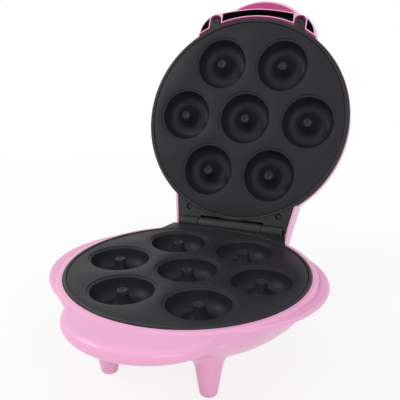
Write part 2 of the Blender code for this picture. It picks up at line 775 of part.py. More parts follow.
def lip_rings(inset=0.0):
    """The front lip: an oval slab with a full round nose, sloping down towards the front."""
    top = -FRAME_FACE - LIP_TOP_DROP - inset
    bottom = -FRAME_FACE - LIP_TOP_DROP - LIP_THICKNESS + inset
    radius = LIP_ROUNDING - inset
    levels = [(radius, bottom)]
    for angle in (math.radians(30), math.radians(65)):
        levels.append((radius * (1 - math.sin(angle)), bottom + radius * (1 - math.cos(angle))))
    levels.append((0, (top + bottom) / 2))
    for angle in (math.radians(65), math.radians(30)):
        levels.append((radius * (1 - math.sin(angle)), top - radius * (1 - math.cos(angle))))
    levels.append((radius, top))
    rings = [[Vector((0, -LIP_CENTRE, bottom))]]
    for pull, height in levels:
        shrink = pull + inset
        ring = []
        for x, y in ellipse(LIP_HALF_WIDTH - shrink, LIP_HALF_LENGTH - shrink, -LIP_CENTRE, LIP_ROUND):
            slope = LIP_SLOPE_SHARE * min(y + LIP_SLOPE_START, 0)
            ring.append(Vector((x, y, height + slope)))
        rings.append(ring)
    return rings + [[Vector((0, -LIP_CENTRE, top))]]


def pod_rings(inset=0.0):
    """The rear pod, which holds the supply terminals and carries the rear legs."""
    levels = (
        (POD_ROUNDING * 2, -POD_BOTTOM + inset),
        (POD_ROUNDING / 2, -POD_BOTTOM + POD_ROUNDING + inset / 2),
        (0, -POD_TOP - POD_ROUNDING * 2),
        (POD_ROUNDING / 4, -POD_TOP - POD_ROUNDING / 2 - inset),
        (POD_ROUNDING, -POD_TOP - inset),
    )
    rings = []
    for pull, height in levels:
        half_width = POD_HALF_WIDTH - pull - inset
        half_length = POD_HALF_LENGTH - pull - inset
        outline = ellipse(half_width, half_length, POD_CENTRE, POD_ROUND, POD_SQUARENESS)
        rings.append([Vector((x, y, height)) for x, y in outline])
    return rings


def leg_places():
    for name, side, end in CORNERS:
        if end < 0:
            yield name, (side * LEG_SPREAD, -FRONT_LEG_SETBACK)
        else:
            yield name, (side * REAR_LEG_SPREAD, REAR_LEG_SETBACK)


def leg_profile(inset=0.0):
    tip = -PARTING_HEIGHT + PAD_PROUD
    straight = tip + LEG_TIP_ROUNDING
    root = -LEG_ROOT_DEPTH
    root_radius = LEG_TIP_RADIUS + LEG_TAPER_SHARE * (root - straight)
    if inset:
        return [
            (LEG_TIP_RADIUS - inset, straight + inset),
            (root_radius - inset - LEG_TAPER_SHARE * inset, root - inset),
        ]
    return [
        (LEG_TIP_RADIUS - LEG_TIP_ROUNDING, tip),
        (LEG_TIP_RADIUS - LEG_TIP_ROUNDING / 3, tip + LEG_TIP_ROUNDING / 3),
        (LEG_TIP_RADIUS, straight),
        (root_radius, root),
    ]


def column_foot():
    """How high a screw column's foot is, where it meets the bowl's wall."""
    side = bowl_outside()
    for (r0, z0), (r1, z1) in zip(side, side[1:]):
        if r0 <= TAB_RADIUS <= r1:
            return z0 + (z1 - z0) * (TAB_RADIUS - r0) / (r1 - r0)
    return -BOWL_DEPTH / 2


def base_shell():
    made = turned("base_shell", bowl_outside(), ROUND)
    joined(made, skinned("lobes", lobe_rings()))
    joined(made, skinned("lip", lip_rings()))
    joined(made, skinned("pod", pod_rings()))
    for _, place in leg_places():
        joined(made, turned("leg", leg_profile(), LEG_ROUND, place))

    cut(made, bowl_hollow())
    collar = ((BOWL_RADIUS - WALL / 2, LEDGE_ROOT), (BOWL_RADIUS - WALL / 2, OVERRUN))
    cut(made, cut(skinned("lip_hollow", lip_rings(WALL)), turned("collar", collar, ROUND)))
    cut(made, skinned("pod_hollow", pod_rings(WALL)))
    cut(made, leg_hollows())

    half = KNUCKLE_HALF + HINGE_NOTCH_MARGIN
    notch_low = (-half, FLANGE_RADIUS - LEDGE_WIDTH, -FRAME_BACK - SKIRT_DEPTH - HINGE_NOTCH_MARGIN)
    cut(made, box("notch", notch_low, (half, HINGE.y, OVERRUN)))
    cut(made, prism("shelf_room", shelf_outline(SEAT), -FRAME_BACK, OVERRUN))
    cut(made, base_screw_bores())
    cut(made, pad_recesses())
    low = (0, POD_CENTRE + POD_HALF_LENGTH / 2, -GLAND_HEIGHT)
    high = (0, POD_CENTRE + POD_HALF_LENGTH + OVERRUN, -GLAND_HEIGHT)
    return cut(made, rod("gland_hole", low, high, GLAND_SLEEVE + SEAT, SMALL_ROUND))


def bowl_hollow():
    """The bowl's inside: wall, ledge under the frame and the seat round it, less the four screw columns."""
    inside = inset_profile(bowl_outside()[: len(BOWL_SIDE_SHARES)], WALL)[::2]
    hollow = [point for point in inside if point[1] < LEDGE_ROOT]
    hollow += [(BOWL_RADIUS - WALL, LEDGE_ROOT), (LEDGE_RADIUS, LEDGE - LEDGE_THICKNESS)]
    seat = FRAME_RADIUS + SEAT
    hollow += [(LEDGE_RADIUS, LEDGE), (seat, LEDGE), (seat, OVERRUN), (0, OVERRUN)]
    reach = ((COLUMN_RADIUS, column_foot() - COLUMN_RADIUS * 2), (COLUMN_RADIUS, -TAB_BACK - SEAT))
    places = [polar(TAB_RADIUS, angle) for angle in BASE_SCREW_ANGLES]
    columns = [turned("column", reach, SMALL_ROUND, place) for place in places]
    return cut(turned("hollow", hollow, ROUND), together("columns", columns))


def leg_hollows():
    hollows = [turned("hollow", leg_profile(LEG_WALL), TINY_ROUND, place) for _, place in leg_places()]
    return together("leg_hollows", hollows)


def base_screw_bores():
    """A bore through each column, wider from below for the screw's head."""
    foot = column_foot()
    shoulder = foot + COUNTERBORE_DEPTH
    bore = [
        (COUNTERBORE_RADIUS, foot - COLUMN_RADIUS - OVERRUN),
        (COUNTERBORE_RADIUS, shoulder),
        (SCREW_HOLE, shoulder),
        (SCREW_HOLE, -TAB_BACK - SEAT + OVERRUN),
    ]
    bores = [turned("bore", bore, TINY_ROUND, polar(TAB_RADIUS, angle)) for angle in BASE_SCREW_ANGLES]
    return together("bores", bores)


def pad_recesses():
    radius = PAD_RADIUS + SEAT
    recess = ((radius, -PARTING_HEIGHT - OVERRUN), (radius, pad_top() + SEAT))
    recesses = [turned("recess", recess, SMALL_ROUND, place) for _, place in leg_places()]
    return together("recesses", recesses)


def pad_top():
    return -PARTING_HEIGHT + PAD_PROUD + PAD_RECESS


# Lid shell

def lid_outside():
    """The crown's outside from the rim up to the axis, as (radius, height)."""
    low = LID_RIM_BACK - SEAT
    rise = LID_HEIGHT - low
    return [(LID_RADIUS * out, low + rise * up) for out, up in LID_SIDE_SHARES]


def handle_outline(inset=0.0, root=None):
    """The handle block's plan: an arch from one root to the other, moved in by inset."""
    reach = HANDLE_REACH - inset
    half = HANDLE_HALF_WIDTH - inset
    start = HANDLE_ROOT
    right = [(half * x_share, -start - (reach - start) * y_share) for x_share, y_share in HANDLE_SHARES]
    arch = right + [(-x, y) for x, y in right[-2::-1]]
    back = -HANDLE_ROOT + HANDLE_HALF_WIDTH / 2 if root is None else root
    return [(half, back), *arch, (-half, back)]


def pocket(name, low_x, high_x):
    """One blind pocket in the handle block's face, between the inner wall and the arch."""
    made = prism(name, handle_outline(HANDLE_WALL), FRAME_FACE - OVERRUN, FRAME_FACE + POCKET_DEPTH)
    disc = ((POCKET_INNER_RADIUS, -OVERRUN * 2), (POCKET_INNER_RADIUS, POCKET_DEPTH + OVERRUN))
    cut(made, turned("disc", disc, ROUND))
    big = HANDLE_REACH
    for low, high in ((-big, low_x), (high_x, big)):
        cut(made, box("side", (low, -big * 2, -OVERRUN * 2), (high, 0, POCKET_DEPTH + OVERRUN)))
    return made


def neck_rings(inset=0.0):
    base = FRAME_FACE + SHELL_EDGE_GAP
    low = base - OVERRUN if inset else base
    levels = (
        (0, low),
        (0, base + NECK_HEIGHT / 2),
        (NECK_ROUNDING / 5, base + NECK_HEIGHT - NECK_ROUNDING / 2 - inset),
        (NECK_ROUNDING, base + NECK_HEIGHT - inset),
    )
    rings = []
    for pull, height in levels:
        shrink = inset + pull
        rings.append([Vector((x, y, height)) for x, y in neck_outline(shrink)])
    return rings


def grip_rings():
    bottom = GRIP_BOTTOM
    top = GRIP_BOTTOM + GRIP_THICKNESS
    radius = GRIP_ROUNDING
    levels = [(radius, bottom), (radius / 3, bottom + radius / 3), (0, (top + bottom) / 2)]
    levels += [(radius / 3, top - radius / 3), (radius, top)]
    rings = []
    for pull, height in levels:
        outline = ellipse(GRIP_HALF_WIDTH - pull, GRIP_HALF_LENGTH - pull, -GRIP_CENTRE, LIP_ROUND)
        rings.append([Vector((x, y, height)) for x, y in outline])
    return rings


def lid_shell():
    low = LID_RIM_BACK + SEAT
    outside = lid_outside()
    made = turned("lid_shell", [(0, outside[0][1]), *outside], ROUND)
    joined(made, skinned("neck", neck_rings()))
    base = FRAME_FACE + SHELL_EDGE_GAP
    joined(made, prism("handle", handle_outline(), base, HANDLE_HEIGHT + HANDLE_WALL))
    joined(made, skinned("grip", grip_rings()))

    hollow = [(0, -OVERRUN), (LID_RADIUS - WALL, -OVERRUN), *inset_profile(outside, WALL)[::2]]
    cutter = turned("hollow", hollow, ROUND)
    joined(cutter, skinned("neck_hollow", neck_rings(NECK_WALL)))
    cut(made, cutter)

    rim = LID_RADIUS + SHELL_EDGE_GAP
    cut(made, turned("rim_room", ((rim, -OVERRUN), (rim, low)), ROUND))
    pockets = [
        pocket("middle_pocket", -EAR_INNER + HANDLE_WALL + EAR_FIT, EAR_INNER - HANDLE_WALL - EAR_FIT),
        pocket("left_pocket", -HANDLE_REACH, -EAR_OUTER - HANDLE_WALL - EAR_FIT),
        pocket("right_pocket", EAR_OUTER + HANDLE_WALL + EAR_FIT, HANDLE_REACH),
    ]
    cut(made, together("pockets", pockets))
    recesses = []
    for outline in (ear_outline(EAR_FIT), mirrored(ear_outline(EAR_FIT))):
        recesses.append(prism("recess", outline, -OVERRUN, low))
    cut(made, together("recesses", recesses))
    return lid_fixings(made)


def lid_fixings(made):
    """Bosses and bores for the four lid screws, posts for the lamp holder and the two lamps' holes."""
    seat = LID_CUP_TOP + SEAT
    boss = ((BOSS_RADIUS, seat), (BOSS_RADIUS, NECK_HEIGHT))
    bosses, cups, bores = [], [], []
    for place in lid_screw_places():
        if place[1] > 0:
            bosses.append(turned("boss", boss, SMALL_ROUND, place))
        else:
            cup_radius = LID_CUP_RADIUS + EAR_FIT
            cups.append(turned("cup", ((cup_radius, -OVERRUN), (cup_radius, seat)), SMALL_ROUND, place))
        bore = ((SCREW_HOLE, seat - OVERRUN), (SCREW_HOLE, LID_SCREW_TIP + SEAT * 2))
        bores.append(turned("bore", bore, TINY_ROUND, place))
    cut(made, together("cups", cups))
    for side in (-1, 1):
        place = (side * (HOLDER_SIZE[0] / 2 - LAMP_POST_RADIUS), -LAMP_SETBACK)
        top = crown_height(math.hypot(*place)) - WALL / 2
        reach = ((LAMP_POST_RADIUS, lens_seat() - LENS_FLANGE_THICKNESS), (LAMP_POST_RADIUS, top))
        bosses.append(turned("post", reach, TINY_ROUND, place))
    joined(made, together("bosses", bosses))
    for side in (-1, 1):
        place = (side * LAMP_SPREAD, -LAMP_SETBACK)
        radius = LENS_RADIUS + LENS_CLEARANCE
        lamp_hole = ((radius, LID_HEIGHT / 2), (radius, LID_HEIGHT + OVERRUN))
        bores.append(turned("lamp_hole", lamp_hole, SMALL_ROUND, place))
    return cut(made, together("bores", bores))


# Heating parts

def tube(name, points, radius, sides=2):
    """A round tube through points, with closed ends."""
    curve = bpy.data.curves.new(name, "CURVE")
    curve.dimensions = "3D"
    curve.bevel_depth = radius
    curve.bevel_resolution = sides
    curve.use_fill_caps = True
    line = curve.splines.new("POLY")
    line.points.add(len(points) - 1)
    for spot, point in zip(line.points, points):
        spot.co = (*point, 1)
    made = bpy.data.objects.new(name, curve)
    bpy.context.scene.collection.objects.link(made)
    bpy.context.view_layer.update()
    graph = bpy.context.evaluated_depsgraph_get()
    mesh = bpy.data.meshes.new_from_object(made.evaluated_get(graph))
    bpy.data.objects.remove(made, do_unlink=True)
    bm = bmesh.new()
    bm.from_mesh(mesh)
    bmesh.ops.remove_doubles(bm, verts=bm.verts, dist=radius / 50)
    return object_from(name, bm)


def heater(name):
    """A tube bent to a ring round the middle well, with both ends turned away from the plate."""
    height = -PLATE_BACK - SEAT - HEATER_TUBE
    start = math.pi / 2 + HEATER_GAP
    sweep = 2 * math.pi - 2 * HEATER_GAP
    ring = [polar(HEATER_RADIUS, start + sweep * n / HEATER_STEPS) for n in range(HEATER_STEPS + 1)]
    points = [(x, y, height) for x, y in ring[1:-1]]
    (x0, y0), (x1, y1) = ring[0], ring[-1]
    bend, end = height - HEATER_TUBE / 2, height - HEATER_LEG
    points = [(x0, y0, end), (x0, y0, bend), *points, (x1, y1, bend), (x1, y1, end)]
    return tube(name, points, HEATER_TUBE, 1)


def heater_end(side):
    x, y = polar(HEATER_RADIUS, math.pi / 2 - side * HEATER_GAP)
    return Vector((x, y, -PLATE_BACK - SEAT - HEATER_TUBE - HEATER_LEG))


def reflector(name):
    """A sheet pan against the backs of the wells, open in the middle and for the element's ends."""
    top = -WELL_BACK - SEAT
    outer = PAN_RADIUS
    profile = [
        (0, top),
        (outer, top),
        (outer, top - PAN_DEPTH),
        (outer - PAN_THICKNESS, top - PAN_DEPTH),
        (outer - PAN_THICKNESS, top - PAN_THICKNESS),
        (0, top - PAN_THICKNESS),
    ]
    made = turned(name, profile, ROUND // 2)
    holes = [((0, 0), THERMOSTAT_RADIUS + SEAT * 2)]
    for side in (-1, 1):
        end = heater_end(side)
        holes.append(((end.x, end.y), HEATER_TUBE + SEAT * 2))
    cutters = []
    for place, radius in holes:
        reach = ((radius, top - PAN_DEPTH), (radius, top + OVERRUN))
        cutters.append(turned("hole", reach, SMALL_ROUND, place))
    return cut(made, together("holes", cutters))


def thermostat():
    top = -WELL_BACK - SEAT
    low = top - THERMOSTAT_HEIGHT
    radius = THERMOSTAT_RADIUS
    neck = radius - SEAT * 2
    profile = [(0, low), (neck, low), (radius, low + SEAT * 2), (radius, top), (0, top)]
    made = turned("thermostat", profile, LEG_ROUND)
    half = THERMOSTAT_TAB_WIDTH / 2
    for side in (-1, 1):
        start, end = sorted((side * neck / 2, side * (THERMOSTAT_RADIUS + THERMOSTAT_TAB)))
        tab = box("tab", (start, -half, low), (end, half, low + THERMOSTAT_TAB_THICKNESS))
        joined(made, tab)
    return made


def thermal_fuse():
    height = -WELL_BACK - SEAT - PAN_THICKNESS - SEAT - FUSE_RADIUS
    x, y = FUSE_PLACE
    half = FUSE_LENGTH / 2
    return rod("thermal_fuse", (x - half, -y, height), (x + half, -y, height), FUSE_RADIUS, SMALL_ROUND)


def fuse_clip():
    """A strap over the fuse, with a foot on the pan at each side."""
    top = -WELL_BACK - SEAT - PAN_THICKNESS - SEAT
    inner = FUSE_RADIUS + SEAT
    outer = inner + CLIP_THICKNESS
    centre = top - FUSE_RADIUS
    toe, sole = outer + CLIP_FOOT, top - CLIP_THICKNESS
    half = [(toe, top), (toe, sole), (outer, sole)]
    half += [(outer * math.cos(a), centre - outer * math.sin(a)) for a in (0, math.pi / 4, math.pi / 2)]
    under = [(inner * math.cos(a), centre - inner * math.sin(a)) for a in (math.pi / 2, math.pi / 4, 0)]
    under.append((inner, top))
    left = [(-y, z) for y, z in reversed(half[:-1])]
    left_under = [(-y, z) for y, z in reversed(under[1:])]
    outline = half + left + left_under + under
    x, y = FUSE_PLACE
    rings = []
    for shift in (-CLIP_WIDTH / 2, CLIP_WIDTH / 2):
        rings.append([Vector((x + shift, -y + across, z)) for across, z in outline])
    return skinned("fuse_clip", rings)


# Supply

def pod_floor():
    return -POD_BOTTOM + WALL


def terminal_block():
    length, width, height = BLOCK_SIZE
    low = pod_floor() + SEAT
    top = low + height
    made = box(
        "terminal_block",
        (-length / 2, BLOCK_SETBACK - width / 2, low),
        (length / 2, BLOCK_SETBACK + width / 2, top),
    )
    pockets = []
    for n in (-1, 0, 1):
        reach = ((BLOCK_POCKET_RADIUS, top - BLOCK_POCKET_DEPTH), (BLOCK_POCKET_RADIUS, top + OVERRUN))
        pockets.append(turned("pocket", reach, TINY_ROUND, (n * length / 3, BLOCK_SETBACK)))
    return cut(made, together("pockets", pockets))


def bezier(points, steps):
    """Points along one cubic curve."""
    a, b, c, d = (Vector(point) for point in points)
    made = []
    for n in range(steps + 1):
        t = n / steps
        made.append(a * (1 - t) ** 3 + b * 3 * t * (1 - t) ** 2 + c * 3 * t * t * (1 - t) + d * t ** 3)
    return made


def leads():
    """The sleeved leads: block to thermostat, block to element, and thermostat to element."""
    length, width, height = BLOCK_SIZE
    front = BLOCK_SETBACK - width / 2 - SEAT
    level = pod_floor() + SEAT + height / 2
    tab = Vector((THERMOSTAT_RADIUS + THERMOSTAT_TAB / 2, THERMOSTAT_TAB_WIDTH / 2, 0))
    tab.z = -WELL_BACK - SEAT - THERMOSTAT_HEIGHT - SEAT - LEAD_RADIUS
    drop = Vector((0, 0, -LEAD_STUB))
    twice = drop * 2
    live_start = Vector((-length / 3, front, level))
    neutral_start = Vector((length / 3, front, level))
    ahead = Vector((0, -width, 0))
    live_end = Vector((-tab.x, tab.y, tab.z))
    live_turn = live_end + Vector((0, width, -LEAD_STUB))
    right_pin, left_pin = (heater_end(side) - Vector((0, 0, SEAT)) for side in (1, -1))
    link_turn = tab + Vector((0, width, -LEAD_STUB))
    live = bezier((live_start, live_start + ahead, live_turn, live_end), LEAD_STEPS)
    neutral = bezier((neutral_start, neutral_start + ahead, right_pin + twice, right_pin + drop), LEAD_STEPS)
    link = bezier((left_pin + drop, left_pin + twice, link_turn, tab), LEAD_STEPS)
    return [
        tube("live_lead", live, LEAD_RADIUS, 0),
        tube("neutral_lead", [*neutral, right_pin], LEAD_RADIUS, 0),
        tube("link_lead", [left_pin, *link], LEAD_RADIUS, 0),
    ]


def cord_gland():
    """The bush that lines the cord's hole in the pod's rear wall."""
    back = POD_CENTRE + POD_HALF_LENGTH + SEAT
    profile = [
        (GLAND_BORE, -GLAND_SLEEVE_LENGTH),
        (GLAND_SLEEVE, -GLAND_SLEEVE_LENGTH),
        (GLAND_SLEEVE, 0),
        (GLAND_FLANGE, 0),
        (GLAND_FLANGE, GLAND_FLANGE_THICKNESS / 2),
        (GLAND_SLEEVE, GLAND_FLANGE_THICKNESS),
        (GLAND_BORE, GLAND_FLANGE_THICKNESS),
    ]
    made = ring_solid("cord_gland", profile, LEG_ROUND)
    turn = Matrix.Rotation(-math.pi / 2, 4, "X")
    made.data.transform(Matrix.Translation((0, back, -GLAND_HEIGHT)) @ turn)
    return made


# Screws and pins

def screw(name, place, head_height, tip_height):
    """A cross-head screw along Z with its head facing down, its head's seat at head_height."""
    x, y = place
    face = head_height - SCREW_HEAD_HEIGHT
    profile = [
        (SCREW_RADIUS, tip_height),
        (SCREW_RADIUS, head_height),
        (SCREW_HEAD_RADIUS, head_height),
        (SCREW_HEAD_RADIUS, head_height - SCREW_HEAD_HEIGHT / 2),
        (SCREW_HEAD_RADIUS * 2 / 3, face),
    ]
    made = turned(name, profile, TINY_ROUND, place)
    half, thin = CROSS_LENGTH / 2, CROSS_WIDTH / 2
    low, high = face - OVERRUN, face + CROSS_DEPTH
    cross = box("cross", (x - half, y - thin, low), (x + half, y + thin, high))
    joined(cross, box("arm", (x - thin, y - half, low), (x + thin, y + half, high)))
    return cut(made, cross)


def base_screws():
    shoulder = column_foot() + COUNTERBORE_DEPTH - SEAT
    made = []
    for name, angle in zip(("rear_right", "rear_left", "front_left", "front_right"), BASE_SCREW_ANGLES):
        made.append(screw(f"base_screw_{name}", polar(TAB_RADIUS, angle), shoulder, -TAB_FACE - SEAT))
    return made


def plate_screws(prefix):
    made = []
    tip = -PLATE_BACK + PLATE_THICKNESS / 2
    for name, angle in zip(("rear", "front"), PLATE_SCREW_ANGLES):
        made.append(screw(f"{prefix}_plate_screw_{name}", polar(TAB_RADIUS, angle), -TAB_BACK - SEAT, tip))
    return made


def lid_screws():
    made = []
    names = ("ear_left", "ear_right", "neck_left", "neck_right")
    for name, place in zip(names, lid_screw_places()):
        made.append(screw(f"lid_screw_{name}", place, LID_CUP_FLOOR - SEAT, LID_SCREW_TIP))
    return made


def hinge_pin():
    reach = KNUCKLE_END - PIN_INSET
    return rod("hinge_pin", (-reach, HINGE.y, HINGE.z), (reach, HINGE.y, HINGE.z), PIN_RADIUS, SMALL_ROUND)


def foot_pads():
    made = []
    for name, place in leg_places():
        profile = ((PAD_RADIUS, -PARTING_HEIGHT), (PAD_RADIUS, pad_top()))
        made.append(turned(f"foot_pad_{name}", profile, SMALL_ROUND, place))
    return made


# Lamps

def crown_height(radius):
    outside = lid_outside()
    for (r0, z0), (r1, z1) in zip(outside, outside[1:]):
        if r1 <= radius <= r0 and r0 > r1:
            return z0 + (z1 - z0) * (r0 - radius) / (r0 - r1)
    return LID_HEIGHT


def lens_seat():
    """The height of the lens flange's upper face, under the lowest part of the crown's wall over it."""
    far = math.hypot(LAMP_SPREAD, LAMP_SETBACK) + LENS_FLANGE_RADIUS
    return crown_height(far) - WALL - SEAT * 2


def lamp_parts():
    seat = lens_seat()
    made = []
    top = crown_height(math.hypot(LAMP_SPREAD, LAMP_SETBACK)) + LENS_CROWN / 2
    low = seat - LENS_FLANGE_THICKNESS
    for name, side in (("power_lens", -1), ("ready_lens", 1)):
        profile = [
            (LENS_FLANGE_RADIUS, low),
            (LENS_FLANGE_RADIUS, seat),
            (LENS_RADIUS, seat),
            (LENS_RADIUS, top),
            (LENS_RADIUS * 2 / 3, top + LENS_CROWN * 2 / 3),
            (0, top + LENS_CROWN),
        ]
        made.append(turned(name, [(0, low), *profile], SMALL_ROUND, (side * LAMP_SPREAD, -LAMP_SETBACK)))
    length, width, height = HOLDER_SIZE
    high = low - SEAT
    holder = box(
        "lamp_holder",
        (-length / 2, -LAMP_SETBACK - width / 2, high - height),
        (length / 2, -LAMP_SETBACK + width / 2, high),
    )
    sockets = []
    for name, side in (("power_bulb", -1), ("ready_bulb", 1)):
        place = (side * LAMP_SPREAD, -LAMP_SETBACK)
        reach = ((BULB_RADIUS + SEAT, high - BULB_LENGTH - SEAT * 2), (BULB_RADIUS + SEAT, high + OVERRUN))
        sockets.append(turned("socket", reach, SMALL_ROUND, place))
        body = ((BULB_RADIUS, high - BULB_LENGTH - SEAT), (BULB_RADIUS, high - SEAT))
        made.append(turned(name, body, TINY_ROUND, place))
    return made + [cut(holder, together("sockets", sockets))]


# Assembly

def finished(made, parent, material, offset=None):
    """Seats a piece under its parent with its finish; offset puts its origin on the parent's."""
    if offset is not None:
        made.data.transform(Matrix.Translation(-offset))
    made.parent = parent
    made.data.materials.clear()
    made.data.materials.append(material)
    made.data.shade_smooth()
    made.data.set_sharp_from_angle(angle=math.radians(32))


def empty(name, parent=None):
    made = bpy.data.objects.new(name, None)
    bpy.context.scene.collection.objects.link(made)
    made.parent = parent
    return made


def base_pieces():
    yield base_shell(), "pink_shell"
    yield base_frame(), "black_frame"
    yield plate("lower_plate"), "coated_plate"
    yield heater("lower_heater"), "heater_sheath"
    yield reflector("lower_reflector"), "tinned_sheet"
    yield thermostat(), "switch_plastic"
    yield thermal_fuse(), "steel"
    yield fuse_clip(), "steel"
    yield terminal_block(), "switch_plastic"
    yield cord_gland(), "black_frame"
    yield hinge_pin(), "steel"
    for lead in leads():
        yield lead, "lead_sleeve"
    for made in base_screws() + plate_screws("lower"):
        yield made, "steel"
    for made in foot_pads():
        yield made, "rubber"


def lid_pieces():
    yield lid_shell(), "pink_shell"
    yield lid_frame(), "black_frame"
    yield turned_over(plate("upper_plate")), "coated_plate"
    yield turned_over(heater("upper_heater")), "heater_sheath"
    yield turned_over(reflector("upper_reflector")), "tinned_sheet"
    for made in plate_screws("upper"):
        yield turned_over(made), "steel"
    for made in lid_screws():
        yield made, "dark_steel"
    finishes = ("red_lens", "green_lens", "bulb_glass", "bulb_glass", "switch_plastic")
    for made, finish in zip(lamp_parts(), finishes):
        yield made, finish


def centred(root):
    """Moves the root so that the part stands on Z = 0 with its box centred on the origin."""
    bpy.context.view_layer.update()
    corners = []
    for piece in bpy.data.objects:
        if piece.type == "MESH":
            corners += [piece.matrix_world @ vertex.co for vertex in piece.data.vertices]
    for axis in (0, 1):
        values = [corner[axis] for corner in corners]
        root.location[axis] -= (min(values) + max(values)) / 2
    root.location[2] -= min(corner[2] for corner in corners)


def main():
    clear_scene()
    materials = {name: make_material(name) for name in MATERIALS}
    root = empty("cooker")
    lid_axis = empty("lid_axis", root)
    lid_axis.location = HINGE
    lid_axis.rotation_euler = (-OPEN_ANGLE, 0, 0)
    for made, finish in base_pieces():
        finished(made, root, materials[finish])
    for made, finish in lid_pieces():
        finished(made, lid_axis, materials[finish], HINGE)
    centred(root)


main()
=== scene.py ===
"""Looks for the seven-ring cooker: moulded shells, coated plates and hinge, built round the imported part.

Each piece is drawn in millimetres about the middle of the parting plane, with the lid closed: X runs along
the hinge, -Y is the front and +Z is up. It is then put in metres on the body that carries it.
"""

import json
import math

import bmesh
import bpy
import numpy as np
from bpy.props import FloatProperty, FloatVectorProperty, IntProperty, PointerProperty
from mathutils import Matrix, Vector


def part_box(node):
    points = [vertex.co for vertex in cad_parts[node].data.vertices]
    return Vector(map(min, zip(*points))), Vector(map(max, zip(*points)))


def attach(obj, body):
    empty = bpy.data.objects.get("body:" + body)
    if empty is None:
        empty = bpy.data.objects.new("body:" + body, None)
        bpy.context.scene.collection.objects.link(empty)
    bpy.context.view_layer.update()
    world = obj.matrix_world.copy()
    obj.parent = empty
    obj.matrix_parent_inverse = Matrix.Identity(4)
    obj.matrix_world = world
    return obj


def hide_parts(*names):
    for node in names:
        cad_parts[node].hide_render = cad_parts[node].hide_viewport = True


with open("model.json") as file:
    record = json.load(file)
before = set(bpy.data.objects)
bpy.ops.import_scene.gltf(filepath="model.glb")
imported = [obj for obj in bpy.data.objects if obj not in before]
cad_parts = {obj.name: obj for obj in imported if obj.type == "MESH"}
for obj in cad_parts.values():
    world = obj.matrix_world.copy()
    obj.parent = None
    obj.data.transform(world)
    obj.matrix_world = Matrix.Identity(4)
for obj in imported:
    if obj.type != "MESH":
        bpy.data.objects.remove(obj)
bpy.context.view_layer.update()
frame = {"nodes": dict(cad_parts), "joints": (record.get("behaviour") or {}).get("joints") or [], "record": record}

bl_info = {
    "name": "Ring cooker looks",
    "version": (1, 0, 0),
    "blender": (4, 5, 0),
    "location": "3D View > Sidebar > Cooker",
    "description": "Builds the visible pieces and finishes of a seven-ring countertop cooker",
    "category": "Object",
}

# Layout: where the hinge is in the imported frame, and where each body's millimetres go
MM = 0.001
JOINT = frame["joints"][0]
HINGE_POINT = Vector(JOINT["pos_m"])
OPEN_ANGLE = math.radians(JOINT["range_deg"][1])
HINGE = Vector((0, 106.8, -0.6))
ROOT = HINGE_POINT - HINGE * MM
SCALE = Matrix.Scale(MM, 4)
LID_TURN = Matrix.Translation(HINGE_POINT) @ Matrix.Rotation(-OPEN_ANGLE, 4, "X")
PLACES = {
    "base": Matrix.Translation(ROOT) @ SCALE,
    "lid": LID_TURN @ Matrix.Translation(-HINGE * MM) @ SCALE,
}

# Sizes are in millimetres, and heights are from the parting plane.

# Plates
PLATE_FACE = 0.8
PLATE_RADIUS = 96.5
PLATE_WALL = 1.5
PLATE_FOOT = 2.6
WELL_PITCH = 62.0
WELL_MOUTH = 27.4
WELL_BACK = 28.9

# Frames and hinge
FACE = 0.3
FRAME_RADIUS = 99.5
LID_FRAME_RADIUS = 100.4
FRAME_BORE = 91.7
FRAME_BACK = 5.8
SEAT_RADIUS = 96.8
SEAT_DEPTH = 3.1
TAB_RADIUS = 84.0
KNUCKLE_RADIUS = 6.0
KNUCKLE_HALF = 31.5
LID_KNUCKLE_START = 32.1
LID_KNUCKLE_END = 52.0
PIN_BORE = 2.35
HOOD_RADIUS = 9.2
HOOD_BORE = 7.8
HOOD_HALF = 33.5

# Screws and their bores
SCREW_BORE = 1.8
BOSS_RADIUS = 3.6
EAR_SCREWS = ((-43.0, -98.5), (43.0, -98.5))
NECK_SCREWS = ((-45.4, 91.5), (45.4, 91.5))
BASE_SCREW_ANGLES = tuple(math.radians(a) for a in (30, 150, 210, 330))
PLATE_SCREW_ANGLES = tuple(math.radians(a) for a in (90, 270))

# Base shell: sections are (radius, height) points
BOWL_RADIUS = 104.5
COLLAR_TOP = -1.3
BOWL_FLOOR = -41.8
BOWL_FOOT = -44.0
BOWL_SIDE = (
    (104.5, -3.3), (104.35, -6.0), (103.9, -8.6), (102.5, -11.9), (100.4, -15.6), (97.4, -20.0),
    (93.6, -24.9), (88.6, -30.0), (83.4, -34.5), (77.3, -38.3), (73.0, -40.4), (68.4, -42.0), (63.0, -43.4),
    (57.0, BOWL_FOOT), (0.0, BOWL_FOOT),
)
BOWL_INSIDE = (
    (30.0, BOWL_FLOOR), (56.8, BOWL_FLOOR), (67.6, -40.0), (75.9, -36.5), (86.9, -28.4), (95.6, -19.4),
    (99.6, -14.0), (102.2, -11.6), (95.7, -7.7),
)
FRAME_ROOM = ((95.7, -6.1), (99.4, -6.1), (99.8, -5.8), (99.8, -1.5), (100.0, COLLAR_TOP))
FLOOR_HEIGHT = -70.2
PAD_TOP = -68.1
LEG_RECESS = -67.8
LEG_PLACES = ((-41.2, -60.4), (41.2, -60.4), (-36.0, 88.0), (36.0, 88.0))

# Side lobes and front lip: a plan is (half width, half depth, middle's Y)
LOBE_PLAN = (114.2, 96.0, -2.2)
LOBE_TOP = -2.7
LOBE_DISH = 1.6
LOBE_DEPTH = 3.6
LOBE_EDGE = 1.7
LIP_PLAN = (61.5, 51.2, -78.0)
LIP_TOP = -1.5
LIP_FOOT = -13.0
LIP_EDGE = 4.6
LIP_DROP = 2.0
LIP_SLOPE = 0.05
LIP_SLOPE_START = -94.0

